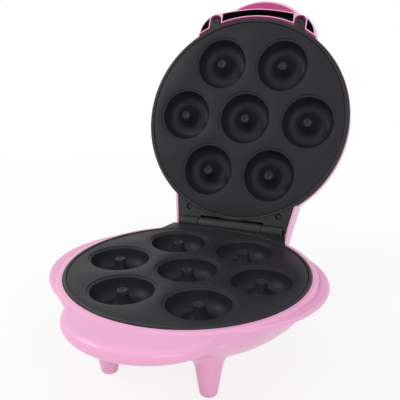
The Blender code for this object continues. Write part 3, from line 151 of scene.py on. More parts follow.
# Rear pod
POD_PLAN = (46.0, 38.0, 75.0)
POD_FOOT = -41.0
POD_TOP = -20.5
POD_CORNER = 4.0
POD_WALL = 3.0
POD_SQUARENESS = 4.0

# Lid shell
CROWN_SIDE = (
    (100.8, 2.5), (100.8, 6.0), (100.75, 9.9), (100.3, 14.2), (99.5, 18.0), (97.2, 22.8), (92.6, 27.0),
    (81.6, 30.7), (61.5, 33.8), (32.3, 35.8), (0.0, 36.5),
)
CROWN_WALL = 2.2
LENS_HOLES = ((-9.5, -85.5), (9.5, -85.5))
LENS_HOLE_RADIUS = 4.6
HANDLE_ARCH = ((60.7, 0.0), (58.3, 9.5), (53.4, 16.5), (47.6, 20.8), (37.6, 23.7), (18.8, 26.8), (0.0, 28.1))
HANDLE_MIDDLE = -83.0
HANDLE_ROOT = -52.0
NECK_FRONT = 60.0
NECK_REAR = 118.6
NECK_FRONT_HALF = 65.0
NECK_REAR_HALF = 54.7

# Facets round each turned form
RIM_FACETS = 240
WELL_FACETS = 96
LEG_FACETS = 72
CUP_FACETS = 48
BORE_FACETS = 40
SCREW_FACETS = 24

# Points closer than these are welded, and shorter edges dissolved.
WELD = 1e-4
SLIVER = 1e-5


# Shapes

NEARLY_STRAIGHT = math.radians(88)


def rounded(corners, steps):
    """A closed line through (x, y, radius) corners, with each corner turned into an arc."""
    points = []
    count = len(corners)
    for n, (x, y, radius) in enumerate(corners):
        here = Vector((x, y))
        before = Vector(corners[n - 1][:2]) - here
        after = Vector(corners[(n + 1) % count][:2]) - here
        if radius <= 0 or not before.length or not after.length:
            points.append(here)
            continue
        before.normalize()
        after.normalize()
        half = before.angle(after) / 2
        if half > NEARLY_STRAIGHT:
            points.append(here)
            continue
        back = radius / math.tan(half)
        middle = here + (before + after).normalized() * (radius / math.sin(half))
        start = here + before * back - middle
        end = here + after * back - middle
        turn = start.angle_signed(end)
        for k in range(steps + 1):
            points.append(middle + Matrix.Rotation(-turn * k / steps, 2) @ start)
    return [(p[0], p[1]) for p in points]


def quarter(radius, steps):
    """How far a quarter round has come back and gone along at each step; a radius of 0 is one step."""
    angles = [math.pi / 2 * k / steps for k in range(steps + 1)] if radius else [0]
    return [(radius * (1 - math.cos(a)), radius * math.sin(a)) for a in angles]


def smooth_line(points, steps):
    """A soft curve through the points, by Catmull-Rom, with its ends kept."""
    p = [np.array(v, float) for v in points]
    p = [2 * p[0] - p[1]] + p + [2 * p[-1] - p[-2]]
    line = []
    for a, b, c, d in zip(p, p[1:], p[2:], p[3:]):
        for k in range(steps):
            t = k / steps
            curve = 2 * b + (c - a) * t + (2 * a - 5 * b + 4 * c - d) * t**2 + (3 * b - a - 3 * c + d) * t**3
            line.append(curve / 2)
    return [tuple(v) for v in line] + [tuple(p[-2])]


def circle(radius, count, centre=(0, 0)):
    """Points round a circle, the first one half a facet on from X."""
    angles = [2 * math.pi * (n + 0.5) / count for n in range(count)]
    return [(centre[0] + radius * math.cos(a), centre[1] + radius * math.sin(a)) for a in angles]


def joined(bm, rows, loop=False):
    """Faces between rows of vertices; a row of one is a point, and a loop joins the last to the first."""
    for low, high in list(zip(rows, rows[1:])) + ([(rows[-1], rows[0])] if loop else []):
        count = max(len(low), len(high))
        for n in range(count if count > 1 else 0):
            after = (n + 1) % count
            corners = [low[n % len(low)], low[after % len(low)], high[after % len(high)], high[n % len(high)]]
            bm.faces.new(list(dict.fromkeys(corners)))
    return rows


def lathe(bm, profile, count, centre=(0, 0), loop=False):
    """Turns (radius, height) points about Z; a point at radius 0 is a pole, and a loop closes on itself."""
    rows = []
    for radius, height in profile:
        points = circle(radius, count, centre) if radius else [centre]
        rows.append([bm.verts.new((x, y, height)) for x, y in points])
    return joined(bm, rows, loop)


def skin(bm, rings, caps=True):
    """Joins rings of equal count into a tube, with a flat cap or a point at either end."""
    rows = joined(bm, [[bm.verts.new(point) for point in ring] for ring in rings])
    if caps:
        for row in (rows[0], rows[-1]):
            if len(row) > 2:
                bm.faces.new(row)


def moved_in(outline, depth):
    """The outline moved in by depth along its own normals, for a rounded edge."""
    pts = np.array(outline, float)
    ahead = np.roll(pts, -1, 0) - pts
    back = pts - np.roll(pts, 1, 0)
    ahead /= np.maximum(np.linalg.norm(ahead, axis=1, keepdims=True), 1e-9)
    back /= np.maximum(np.linalg.norm(back, axis=1, keepdims=True), 1e-9)
    along = ahead + back
    along /= np.maximum(np.linalg.norm(along, axis=1, keepdims=True), 1e-9)
    area = np.sum(pts[:, 0] * np.roll(pts[:, 1], -1) - np.roll(pts[:, 0], -1) * pts[:, 1])
    normal = np.stack([-along[:, 1], along[:, 0]], 1) * np.sign(area)
    stretch = 1 / np.maximum(np.sum(along * ahead, axis=1), 0.5)
    return pts + normal * depth * stretch[:, None]


def slab(bm, outline, low, high, low_round=0.0, high_round=0.0, steps=4):
    """A plate of the outline's plan with its lower and upper edges rounded."""
    levels = [(low_round - along, low + back) for back, along in quarter(low_round, steps)]
    levels += [(back, high - high_round + along) for back, along in quarter(high_round, steps)]
    skin(bm, [[(x, y, height) for x, y in moved_in(outline, pull)] for pull, height in levels])


def oval(half_x, half_y, centre_y, count, squareness=2.0):
    """An oval plan; a higher squareness fills its corners."""
    points = []
    for n in range(count):
        angle = 2 * math.pi * (n + 0.5) / count
        c, s = math.cos(angle), math.sin(angle)
        reach = (abs(c) ** squareness + abs(s) ** squareness) ** (-1 / squareness)
        points.append((half_x * reach * c, centre_y + half_y * reach * s))
    return points


def bar(bm, start, end, radius, edge=0.5, count=64):
    """A round bar along X with softly rounded ends."""
    (x0, y, z), x1 = start, end
    side = 1 if x1 > x0 else -1
    near = [(0, 0)] + [(radius - edge + along, back) for back, along in quarter(edge, 4)]
    rows = []
    for r, along in near + [(r, abs(x1 - x0) - a) for r, a in near[::-1]]:
        points = circle(r, count, (y, z)) if r else [(y, z)]
        rows.append([(x0 + side * along, *point) for point in points])
    skin(bm, rows, caps=False)


def box(bm, low, high):
    """A plain block between two corners."""
    outline = [(low[0], low[1]), (high[0], low[1]), (high[0], high[1]), (low[0], high[1])]
    skin(bm, [[(x, y, z) for x, y in outline] for z in (low[2], high[2])])


def linked(name, bm, finishes):
    """A new object in the scene from drawn geometry, which is then freed."""
    mesh = bpy.data.meshes.new(name)
    bm.to_mesh(mesh)
    bm.free()
    for finish in finishes:
        mesh.materials.append(finish)
    made = bpy.data.objects.new(name, mesh)
    bpy.context.scene.collection.objects.link(made)
    return made


def object_from(name, bm, finishes):
    """A mesh object from drawn geometry, in the local millimetres, with outward faces."""
    bmesh.ops.recalc_face_normals(bm, faces=bm.faces)
    return linked(name, bm, finishes)


def solid(name, draw, finish):
    """One body of one finish, from a function that draws it."""
    bm = bmesh.new()
    draw(bm)
    return object_from(name, bm, [finish])


def settled(made):
    """The object with its modifiers made part of its mesh."""
    bpy.context.view_layer.update()
    graph = bpy.context.evaluated_depsgraph_get()
    mesh = bpy.data.meshes.new_from_object(made.evaluated_get(graph))
    made.modifiers.clear()
    old = made.data
    made.data = mesh
    bpy.data.meshes.remove(old)
    return made


def carve(made, cutter, operation="DIFFERENCE"):
    """Cuts the cutter out of the object, or joins it on, and removes the cutter."""
    step = made.modifiers.new("carve", "BOOLEAN")
    step.operation = operation
    step.solver = "EXACT"
    step.material_mode = "TRANSFER"
    step.object = cutter
    settled(made)
    bpy.data.objects.remove(cutter, do_unlink=True)
    return made


def merged(name, parts):
    """Several finished bodies as one object, each face with its own finish."""
    finishes = []
    bm = bmesh.new()
    for part in parts:
        own = list(part.data.materials)
        finishes += [finish for finish in own if finish not in finishes]
        before = len(bm.faces)
        bm.from_mesh(part.data)
        bm.faces.ensure_lookup_table()
        for face in bm.faces[before:]:
            finish = own[min(face.material_index, len(own) - 1)]
            face.material_index = finishes.index(finish)
        bpy.data.objects.remove(part, do_unlink=True)
    return linked(name, bm, finishes)


def seat(made, body, replaced, soft_angle=35):
    """Puts a piece drawn in millimetres in its place in metres, on the body that carries it."""
    bm = bmesh.new()
    bm.from_mesh(made.data)
    bmesh.ops.remove_doubles(bm, verts=bm.verts, dist=WELD)
    bmesh.ops.dissolve_degenerate(bm, edges=bm.edges, dist=SLIVER)
    limit = math.radians(soft_angle)
    for face in bm.faces:
        face.smooth = True
    for edge in bm.edges:
        edge.smooth = len(edge.link_faces) == 2 and edge.calc_face_angle(0) < limit
    bm.transform(PLACES[body])
    bm.to_mesh(made.data)
    bm.free()
    made.data.update()
    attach(made, body)
    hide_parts(*replaced)


# Repeats, by Geometry Nodes

def repeat_tree(name):
    """A tree that sets one object on every point of a mesh, then makes it real and finishes it."""
    tree = bpy.data.node_groups.new(name, "GeometryNodeTree")
    face = tree.interface
    face.new_socket("Places", in_out="INPUT", socket_type="NodeSocketGeometry")
    face.new_socket("Piece", in_out="INPUT", socket_type="NodeSocketObject")
    turn = face.new_socket("Turn", in_out="INPUT", socket_type="NodeSocketFloat")
    turn.subtype = "ANGLE"
    face.new_socket("Finish", in_out="INPUT", socket_type="NodeSocketMaterial")
    face.new_socket("Geometry", in_out="OUTPUT", socket_type="NodeSocketGeometry")
    start, end = tree.nodes.new("NodeGroupInput"), tree.nodes.new("NodeGroupOutput")
    info = tree.nodes.new("GeometryNodeObjectInfo")
    index = tree.nodes.new("GeometryNodeInputIndex")
    swing = tree.nodes.new("ShaderNodeMath")
    swing.operation = "MULTIPLY"
    spin = tree.nodes.new("ShaderNodeCombineXYZ")
    spread = tree.nodes.new("GeometryNodeInstanceOnPoints")
    real = tree.nodes.new("GeometryNodeRealizeInstances")
    finish = tree.nodes.new("GeometryNodeSetMaterial")
    for a, b in (
        (start.outputs["Places"], spread.inputs["Points"]),
        (start.outputs["Piece"], info.inputs["Object"]),
        (info.outputs["Geometry"], spread.inputs["Instance"]),
        (index.outputs["Index"], swing.inputs[0]),
        (start.outputs["Turn"], swing.inputs[1]),
        (swing.outputs["Value"], spin.inputs["Z"]),
        (spin.outputs["Vector"], spread.inputs["Rotation"]),
        (spread.outputs["Instances"], real.inputs["Geometry"]),
        (real.outputs["Geometry"], finish.inputs["Geometry"]),
        (start.outputs["Finish"], finish.inputs["Material"]),
        (finish.outputs["Geometry"], end.inputs["Geometry"]),
    ):
        tree.links.new(a, b)
    return tree


def repeated(name, piece, places, finish, turn=0.0):
    """One piece set on each place, as a plain mesh; the pattern piece is then removed."""
    bm = bmesh.new()
    for place in places:
        bm.verts.new(place if len(place) == 3 else (*place, 0))
    made = object_from(name, bm, [finish])
    tree = bpy.data.node_groups.get("set on places") or repeat_tree("set on places")
    step = made.modifiers.new("repeat", "NODES")
    step.node_group = tree
    values = {"Piece": piece, "Turn": turn, "Finish": finish}
    for item in tree.interface.items_tree:
        if item.in_out == "INPUT" and item.name in values:
            step[item.identifier] = values[item.name]
    settled(made)
    bpy.data.objects.remove(piece, do_unlink=True)
    return made


# Finishes

# A colour Mix node's inputs and result go by number, because its sockets of other types share their names.
MIX_LOW, MIX_HIGH, MIX_RESULT = 6, 7, 2


def linear(code):
    """A scene colour from a #rrggbb screen colour."""
    parts = [int(code[i:i + 2], 16) / 255 for i in (1, 3, 5)]
    return (*[c / 12.92 if c <= 0.04045 else ((c + 0.055) / 1.055) ** 2.4 for c in parts], 1)


def add(tree, kind, inputs=None, **settings):
    """One node with its settings; an input is given a value or joined to another node's socket."""
    node = tree.nodes.new(kind)
    for key, value in settings.items():
        setattr(node, key, value)
    for key, value in (inputs or {}).items():
        if isinstance(value, bpy.types.NodeSocket):
            tree.links.new(value, node.inputs[key])
        else:
            node.inputs[key].default_value = value
    return node


def new_finish(name, *grains, stretch=None):
    """A material with its tree, its place on the object and a noise pattern for each of its grains.

    A grain is (millimetres across, detail, roughness), and stretch scales the place along each axis.
    """
    finish = bpy.data.materials.new(name)
    finish.use_nodes = True
    tree = finish.node_tree
    place = add(tree, "ShaderNodeTexCoord").outputs["Object"]
    if stretch:
        place = add(tree, "ShaderNodeMapping", {"Vector": place, "Scale": stretch}).outputs["Vector"]
    patterns = []
    for pitch, detail, rough in grains:
        inputs = {"Vector": place, "Scale": 1 / (pitch * MM), "Detail": detail, "Roughness": rough}
        patterns.append(add(tree, "ShaderNodeTexNoise", inputs).outputs["Fac"])
    return finish, tree, place, patterns


def surface(tree, tone, gloss, relief, plain=()):
    """Wires patterns into the shader's colour, gloss and relief, and sets its plain values.

    tone and gloss are (pattern, its low, its high, what the low gives, what the high gives), and relief is
    (pattern, millimetres deep, strength).
    """
    shader = tree.nodes["Principled BSDF"]
    pattern, start, end, low, high = tone
    share = add(tree, "ShaderNodeMapRange", {"Value": pattern, "From Min": start, "From Max": end})
    inputs = {"Factor": share.outputs["Result"], MIX_LOW: low, MIX_HIGH: high}
    colour = add(tree, "ShaderNodeMix", inputs, data_type="RGBA")
    pattern, start, end, low, high = gloss
    inputs = {"Value": pattern, "From Min": start, "From Max": end, "To Min": low, "To Max": high}
    rough = add(tree, "ShaderNodeMapRange", inputs)
    pattern, depth, strength = relief
    bump = add(tree, "ShaderNodeBump", {"Height": pattern, "Distance": depth * MM, "Strength": strength})
    tree.links.new(colour.outputs[MIX_RESULT], shader.inputs["Base Color"])
    tree.links.new(rough.outputs["Result"], shader.inputs["Roughness"])
    tree.links.new(bump.outputs["Normal"], shader.inputs["Normal"])
    for key, value in dict(plain).items():
        shader.inputs[key].default_value = value


def pink_gloss():
    # Polypropylene shell, injection moulded in a polished tool: even pink, broad soft highlights.
    finish, tree, _, (clouds, ripple) = new_finish(
        "pink polypropylene, polished mould", (45, 3, 0.55), (9, 2, 0.55))
    shade = tuple(bpy.context.scene.cooker_look.shell_colour)
    tone = (clouds, 0.3, 0.7, (*[c * 0.965 for c in shade], 1), (*shade, 1))
    plain = {"IOR": 1.38, "Coat Weight": 0.3, "Coat Roughness": 0.2}
    surface(tree, tone, (ripple, 0.3, 0.7, 0.28, 0.34), (ripple, 0.002, 0.1), plain)
    return finish


def plate_coat():
    # Non-stick coat sprayed on die-cast aluminium: near black, with painted glints for its sparkle, soft sheen.
    finish, tree, place, (clouds, spray) = new_finish(
        "black non-stick coat, sprayed on cast aluminium", (25, 3, 0.55), (0.7, 3, 0.7))
    shade = tuple(bpy.context.scene.cooker_look.coat_colour)
    tone = (clouds, 0.3, 0.7, (*[c * 0.85 for c in shade], 1), (*shade, 1))
    surface(tree, tone, (spray, 0.3, 0.7, 0.4, 0.52), (spray, 0.02, 0.35), {"IOR": 1.27})
    # Painted glints: lighter flecks in the colour stand in for the coat's sparkle, drawn at 1.6 mm, coarser than
    # the real ones, so that they show.
    glint_cells = add(tree, "ShaderNodeTexVoronoi", {"Vector": place, "Scale": 1 / (1.6 * MM)}).outputs["Distance"]
    painted_glint = add(tree, "ShaderNodeMapRange", {"Value": glint_cells, "From Max": 0.16, "To Min": 0.35, "To Max": 0})
    colour = tree.nodes["Principled BSDF"].inputs["Base Color"]
    inputs = {"Factor": painted_glint.outputs["Result"], MIX_LOW: colour.links[0].from_socket, MIX_HIGH: linear("#3a373c")}
    lit = add(tree, "ShaderNodeMix", inputs, data_type="RGBA")
    tree.links.new(lit.outputs[MIX_RESULT], colour)
    return finish


def moulded_plastic(name, low, high, gloss, grain):
    """A moulded plastic: mottled colour, uneven gloss and a fine flow relief."""
    finish, tree, _, (clouds, fine) = new_finish(name, (38, 3, 0.55), (grain, 4, 0.55))
    both = add(tree, "ShaderNodeMath", {0: clouds, 1: fine}, operation="ADD").outputs[0]
    tone = (clouds, 0.3, 0.7, linear(low), linear(high))
    surface(tree, tone, (both, 0.7, 1.3, *gloss), (fine, 0.012, 0.5), {"IOR": 1.4})
    return finish


def metal(name, low, high, gloss, grain=0.8, stretch=None):
    """A metal with its tone and gloss varied by fine grain, or by streaks where it was rolled."""
    grains = (grain * 14, 3, 0.55), (grain, 4, 0.55)
    finish, tree, _, (clouds, fine) = new_finish(name, *grains, stretch=stretch)
    tone = (clouds, 0.3, 0.7, linear(low), linear(high))
    surface(tree, tone, (fine, 0.3, 0.7, *gloss), (fine, 0.01, 0.5), {"Metallic": 1.0})
    return finish


def heater_skin():
    # Steel-sheathed tube, browned by heat: dull, with blotches of straw and blue-grey scale.
    finish, tree, _, (blotch, scale) = new_finish(
        "steel heater sheath, oxidised by heat", (9, 4, 0.6), (0.6, 3, 0.7))
    tone = (blotch, 0.35, 0.65, linear("#4a4440"), linear("#6f6459"))
    surface(tree, tone, (scale, 0.3, 0.7, 0.45, 0.7), (scale, 0.02, 0.6), {"Metallic": 1.0})
    return finish


def woven_sleeve():
    # Glass-fibre sleeve, braided and varnished: pale crossed strands with darker gaps, 6.2 mm apart.
    finish, tree, place, _ = new_finish("glass-fibre sleeve, braided")
    bands = []
    for turn in (0.8, -0.8):
        leant = add(tree, "ShaderNodeMapping", {"Vector": place, "Rotation": (0.5, 0.3, turn)}).outputs["Vector"]
        wave = add(tree, "ShaderNodeTexWave", {"Vector": leant, "Scale": 1 / (6.2 * MM), "Distortion": 0.6})
        bands.append(wave.outputs["Fac"])
    weave = add(tree, "ShaderNodeMath", {0: bands[0], 1: bands[1]}, operation="MAXIMUM").outputs[0]
    tone = (weave, 0.2, 0.9, linear("#a89f8a"), linear("#e6dfcf"))
    surface(tree, tone, (weave, 0, 1, 0.85, 0.6), (weave, 0.12, 0.8))
    return finish


def clear_plastic(name, low, high, passes):
    """A clear coloured moulding: light goes through it, with faint flow marks."""
    finish, tree, _, (flow,) = new_finish(name, (5, 2, 0.55))
    tone = (flow, 0.3, 0.7, linear(low), linear(high))
    plain = {"IOR": 1.49, "Transmission Weight": passes}
    surface(tree, tone, (flow, 0.3, 0.7, 0.06, 0.14), (flow, 0.02, 0.3), plain)
    return finish


def rubber_pad():
    # Silicone rubber, moulded matt: dark grey, dusty, no highlight.
    finish, tree, _, (dust, tooth) = new_finish(
        "black silicone rubber, moulded matt", (2.2, 4, 0.6), (0.35, 2, 0.55))
    tone = (dust, 0.35, 0.7, linear("#1f1e1f"), linear("#343233"))
    surface(tree, tone, (dust, 0.3, 0.7, 0.75, 0.9), (tooth, 0.04, 0.6))
    return finish


FINISH_MAKERS = {
    "pink_shell": (pink_gloss,),
    "coated_plate": (plate_coat,),
    # Compression-moulded phenolic: satin black with a faint grey bloom.
    "black_frame": (moulded_plastic, "black phenolic, satin moulded", "#161416", "#1e1c1f", (0.4, 0.52), 1.1),
    # Painted shade: the frame's black, dull as from a textured mould, laid on the pink handle's pocket faces so
    # that the pockets look deep.
    "pocket_shade": (moulded_plastic, "black phenolic, textured mould", "#120f10", "#1a1618", (0.6, 0.75), 0.8),
    # Painted shade: a deeper, matt pink with no highlight, laid on the lid's gaps, recesses and the grip's
    # underside, where shade falls.
    "painted_shade_pink": (moulded_plastic, "pink polypropylene, thin matt wall", "#a83a72", "#b4447c", (0.4, 0.5), 2.0),
    # Zinc plating on turned steel: small, bright and slightly grainy.
    "steel": (metal, "zinc-plated steel, bright", "#9d9b96", "#c4c2bc", (0.22, 0.36)),
    # Blackened and oiled steel: screw heads that hardly stand out from the frame.
    "dark_steel": (metal, "blackened steel, oiled", "#3b383a", "#545153", (0.4, 0.55)),
    # Rolled and tinned: fine streaks along X under a soft shine.
    "tinned_sheet": (
        metal, "tinned steel sheet, rolled", "#9b9a94", "#bdbcb5", (0.3, 0.45), 0.5, (0.08, 1.0, 1.0)),
    "heater_sheath": (heater_skin,),
    # Switch bodies of cream phenolic: dry and slightly speckled.
    "switch_plastic": (
        moulded_plastic, "cream phenolic, dry moulded", "#b3a98c", "#c9c0a5", (0.5, 0.65), 0.9),
    "lead_sleeve": (woven_sleeve,),
    "rubber": (rubber_pad,),
    # Lenses and bulbs: clear and glossy, so that what is behind them shows through their colour.
    "red_lens": (clear_plastic, "red acrylic lens, moulded", "#a50f0f", "#c81a1a", 0.6),
    "green_lens": (clear_plastic, "green acrylic lens, moulded", "#0d7a26", "#149a35", 0.6),
    "bulb_glass": (clear_plastic, "neon lamp glass, sealed", "#e0a070", "#f0c09a", 0.7),
}
_finishes = {}


def finish_for(slot):
    """The finish of a material slot, made when it is first asked for."""
    if slot not in _finishes:
        maker, *values = FINISH_MAKERS[slot]
        _finishes[slot] = maker(*values)
    return _finishes[slot]


CARRIED_OVER = (
    "lower_heater", "upper_heater", "lower_reflector", "upper_reflector", "thermostat", "thermal_fuse",
    "fuse_clip", "terminal_block", "cord_gland", "hinge_pin", "live_lead", "neutral_lead", "link_lead",
    "power_lens", "ready_lens", "power_bulb", "ready_bulb", "lamp_holder",
)


def carry_over():
    """Gives the CAD nodes that keep their shape the finish of their own slot."""
    slots = {part["node"]: part["material_slot"] for part in frame["record"]["subparts"]}
    for name in CARRIED_OVER:
        made = frame["nodes"][name]
        made.data.materials.clear()
        made.data.materials.append(finish_for(slots[name]))


# Base shell, drawn as one smooth field of bowl, side lobes and front lip

UP = np.array([0, 0, 1.0])
BOWL_LINE = np.array(smooth_line(BOWL_SIDE[:-1], 3) + [BOWL_SIDE[-1]])
COLLAR = [(0, 0.0), (BOWL_RADIUS - 1.5, 0.0), (BOWL_RADIUS - 0.6, 0.15), (BOWL_RADIUS - 0.1, 0.8)]
BOWL_SECTION = np.vstack([[(r, COLLAR_TOP - drop) for r, drop in COLLAR], BOWL_LINE])


def softly(a, b, k):
    """The union of two distance fields with their meeting line filled to a fillet of about k."""
    h = np.clip(0.5 + 0.5 * (b - a) / k, 0, 1)
    return b + (a - b) * h - k * h * (1 - h)


def rise(value, low, high):
    """A smooth step from 0 to 1 as the value goes from low to high."""
    t = np.clip((value - low) / (high - low), 0, 1)
    return t * t * (3 - 2 * t)


def bowl_field(x, y, z):
    """The distance to the bowl's outside, below 0 within it."""
    r = np.hypot(x, y)
    best = np.full(r.shape, np.inf)
    for (r0, z0), (r1, z1) in zip(BOWL_SECTION, BOWL_SECTION[1:]):
        dr, dz = r1 - r0, z1 - z0
        t = np.clip(((r - r0) * dr + (z - z0) * dz) / (dr * dr + dz * dz), 0, 1)
        best = np.minimum(best, np.hypot(r - r0 - t * dr, z - z0 - t * dz))
    upward = BOWL_SECTION[:0:-1]
    wall = np.interp(z, upward[:, 1], upward[:, 0])
    inside = (r < wall) & (z < COLLAR_TOP) & (z > BOWL_FOOT)
    return np.where(inside, -best, best)


def plan_distance(x, y, plan):
    """About the distance to an oval plan's edge, below 0 within it."""
    a, b, c = plan
    y = y - c
    k0 = np.hypot(x / a, y / b)
    k1 = np.hypot(x / a**2, y / b**2)
    return k0 * (k0 - 1) / np.maximum(k1, 1e-9)


def slab_field(side, above, below, radius):
    """The distance to a slab with rounded edges, from the distances past its side, top and foot."""
    across = np.maximum(above, below)
    out = np.hypot(np.maximum(side + radius, 0), np.maximum(across + radius, 0))
    return out + np.minimum(np.maximum(side, across) + radius, 0) - radius


def lobe_field(x, y, z):
    """The side lobes: one oval shelf round the bowl, dished in from its edge."""
    side = plan_distance(x, y, LOBE_PLAN)
    top = LOBE_TOP - LOBE_DISH * rise(-side, 0.8, 12.7)
    return slab_field(side, z - top, top - LOBE_DEPTH - z, LOBE_EDGE)


def lip_field(x, y, z):
    """The front lip, sloping down to its nose and dropping at its ends."""
    side = plan_distance(x, y, LIP_PLAN)
    slope = LIP_SLOPE * np.minimum(y - LIP_SLOPE_START, 0)
    top = LIP_TOP + slope - LIP_DROP * rise(np.abs(x), 26.0, 54.0)
    return slab_field(side, z - top, (LIP_FOOT + slope) - z, LIP_EDGE)


def shell_field(x, y, z):
    """Bowl, lobes and lip with crisp lines above, where they meet the collar, and fillets below."""
    low = 0.8 + 3.6 * rise(-z, 5.5, 9.5)
    mid = 0.8 + 5.2 * rise(-z, 4.4, 8.0)
    return softly(softly(bowl_field(x, y, z), lobe_field(x, y, z), low), lip_field(x, y, z), mid)


def walked(start, way):
    """Where each ray from inside the shell comes out of it, found by small safe steps."""
    far = np.zeros(start.shape[:-1])
    for _ in range(34):
        p = start + way * far[..., None]
        far = np.clip(far - shell_field(p[..., 0], p[..., 1], p[..., 2]) * 0.92, 0, 30.0)
    return start + way * far[..., None]


def base_angles(count):
    """Angles round the bowl, closer together in the notches where the lip and lobes meet."""
    t = np.linspace(0, 2 * math.pi, 3601)[:-1]
    weight = np.full(t.shape, 1.0)
    for notch in (-126, -54):
        gap = np.degrees(np.abs(np.angle(np.exp(1j * (t - math.radians(notch))))))
        weight += 1.8 * np.exp(-((gap / 9) ** 2))
    total = np.cumsum(weight)
    return np.interp((np.arange(count) + 0.5) / count * total[-1], total, t)


def outer_radius(angles, plan):
    """How far an oval plan reaches from the middle at each angle."""
    a, b, c = plan
    cos, sin = np.cos(angles), np.sin(angles)
    qa = (cos / a) ** 2 + (sin / b) ** 2
    qb = -2 * sin * c / b**2
    qc = (c / b) ** 2 - 1
    return (-qb + np.sqrt(np.maximum(qb * qb - 4 * qa * qc, 0))) / (2 * qa)


def base_rows(count):
    """Each angle's way out, and rows of points round the shell, from the frame's seat to near the middle."""
    angles = base_angles(count)
    unit = np.stack([np.cos(angles), np.sin(angles), np.zeros(count)], 1)
    lobe, lip = outer_radius(angles, LOBE_PLAN), outer_radius(angles, LIP_PLAN)
    lip = np.where(np.sin(angles) < 0, lip, 0)
    lipward = rise(lip - lobe, -3.0, 3.5) * (np.abs(np.cos(angles)) < 0.75)
    reach = np.maximum(np.maximum(lobe, lip), BOWL_RADIUS)
    edge = np.minimum(1.8 + 3.7 * lipward, reach - 102.4)
    slope = LIP_SLOPE * np.minimum(reach * np.sin(angles) - LIP_SLOPE_START, 0)
    middle = -4.6 - 2.7 * lipward + slope * lipward
    rows = []

    def row(radius, height, tilt):
        start = unit * np.asarray(radius)[..., None] + UP * np.asarray(height)[..., None]
        rows.append(walked(start, unit * math.cos(tilt) + UP * math.sin(tilt)))

    # Over the collar's edge, where rows gather, and out over the lobes and the lip
    inner, rim = 100.6, reach - edge
    width = rim - inner
    gathered = (0, 2.0, 2.9, 3.5, 4.0, 4.8)
    last = len(gathered) - 1
    for n in range(16):
        t = n / 15
        if n <= last:
            step = close = np.minimum(width * (t * 0.75 + 0.25 * (1 - (1 - t) ** 2)), gathered[n])
        else:
            step = close + (width - close) * (n - last) / (15 - last)
        row(inner + step, -4.6 + (middle + 4.6) * step / width, math.pi / 2)
    # Round the outer edge
    for t in np.linspace(0, 1, 19)[1:]:
        row(rim, middle, math.pi / 2 - math.pi * t)
    # Back in to the bowl's wall
    root = np.minimum(103.2 - 3.9 * lipward, rim - 0.8)
    for t in np.linspace(0, 1, 13)[1:]:
        share = t * 0.6 + 0.4 * t * t
        row(rim + (root - rim) * share, middle + (-4.8 - middle) * share, -math.pi / 2)
    # Down the bowl's wall, square to it
    length = np.concatenate([[0], np.cumsum(np.hypot(*np.diff(BOWL_LINE, axis=0).T))])
    first = np.interp(1.6 - rows[-1][:, 2], -BOWL_LINE[:, 1], length)
    normals = np.gradient(BOWL_LINE, axis=0)
    for t in np.linspace(0, 1, 26):
        along = first + (length[-2] - first) * t
        pr, pz = (np.interp(along, length, BOWL_LINE[:, axis]) for axis in (0, 1))
        nr, nz = np.interp(along, length, -normals[:, 1]), np.interp(along, length, normals[:, 0])
        size = np.hypot(nr, nz)
        nr, nz = nr / size, nz / size
        start = unit * (pr - nr * 4)[:, None] + UP * (pz - nz * 4)[:, None]
        rows.append(walked(start, unit * nr[:, None] + UP * nz[:, None]))
    return unit, rows + [unit * radius + UP * BOWL_FOOT for radius in (44.0, 30.0, 15.0)]


def base_bowl(count):
    """The bowl with its lobes and lip as one closed wall."""
    unit, rows = base_rows(count)
    loop = [unit * r + UP * z for r, z in BOWL_INSIDE + FRAME_ROOM] + rows
    rings = [[(0, 0, BOWL_FLOOR)]] + [[tuple(p) for p in ring] for ring in loop] + [[(0, 0, BOWL_FOOT)]]
    return solid("base_shell", lambda bm: skin(bm, rings, caps=False), finish_for("pink_shell"))


def leg_radius(z):
    """The leg's taper, from its rounded end up."""
    return 6.9 + 0.158 * np.maximum(z + 67.0, 0)


def leg_end():
    """The leg's end, from the pad's recess round its lower edge."""
    return [(4.5, LEG_RECESS), (4.5, -69.55)] + [(4.3 + out, -69.6 + up) for up, out in quarter(2.6, 6)[1:]]


def rear_leg(bm, place):
    """A leg that goes up into the pod, with its end domed inside the pod's wall."""
    taper = [(float(leg_radius(z)), z) for z in (-60.0, -52.0, -44.0, -40.0)]
    turns = [math.pi / 2 * k / 8 for k in range(1, 8)]
    dome = [(11.2 * math.cos(a), -40.0 + 12.0 * math.sin(a)) for a in turns] + [(0, -28.0)]
    lathe(bm, [(0, LEG_RECESS)] + leg_end() + taper + dome, LEG_FACETS, place)


def front_leg(bm, place):
    """One leg with its root filleted into the bowl that carries it."""
    lx, ly = place
    angles = np.arange(WELL_FACETS) / WELL_FACETS * 2 * math.pi
    unit = np.stack([np.cos(angles), np.sin(angles)], 1)

    def leg_field(x, y, z):
        return softly(np.hypot(x - lx, y - ly) - leg_radius(z), bowl_field(x, y, z) + 0.22, 5.0)

    def climbed(field, x, y, start, pace, steps):
        """How high a point goes from start until it meets the field, by small safe steps."""
        z = np.full(x.shape, start)
        for _ in range(steps):
            z = np.minimum(z + np.maximum(field(x, y, z), 0) * pace, -12.0)
        return z

    rings = [[(lx, ly, LEG_RECESS)]] + [[(lx + r * c, ly + r * s, z) for c, s in unit] for r, z in leg_end()]
    reaches = [leg_radius(z) for z in np.linspace(-66, -50, 7)]
    for reach in reaches + list(np.linspace(9.9, 13, 9)) + list(np.linspace(13.8, 20, 9)):
        x, y = lx + reach * unit[:, 0], ly + reach * unit[:, 1]
        rings.append([tuple(p) for p in zip(x, y, climbed(leg_field, x, y, -69.0, 0.8, 60))])
    # The root closes just inside the bowl's wall.
    for share in (1.0, 0.72, 0.42, 0.14):
        px, py = lx + (x - lx) * share, ly + (y - ly) * share
        rings.append([tuple(p) for p in zip(px, py, climbed(bowl_field, px, py, -58.0, 0.9, 40) + 1.1)])
    rings.append([(lx, ly, rings[-1][0][2])])
    skin(bm, rings, caps=False)


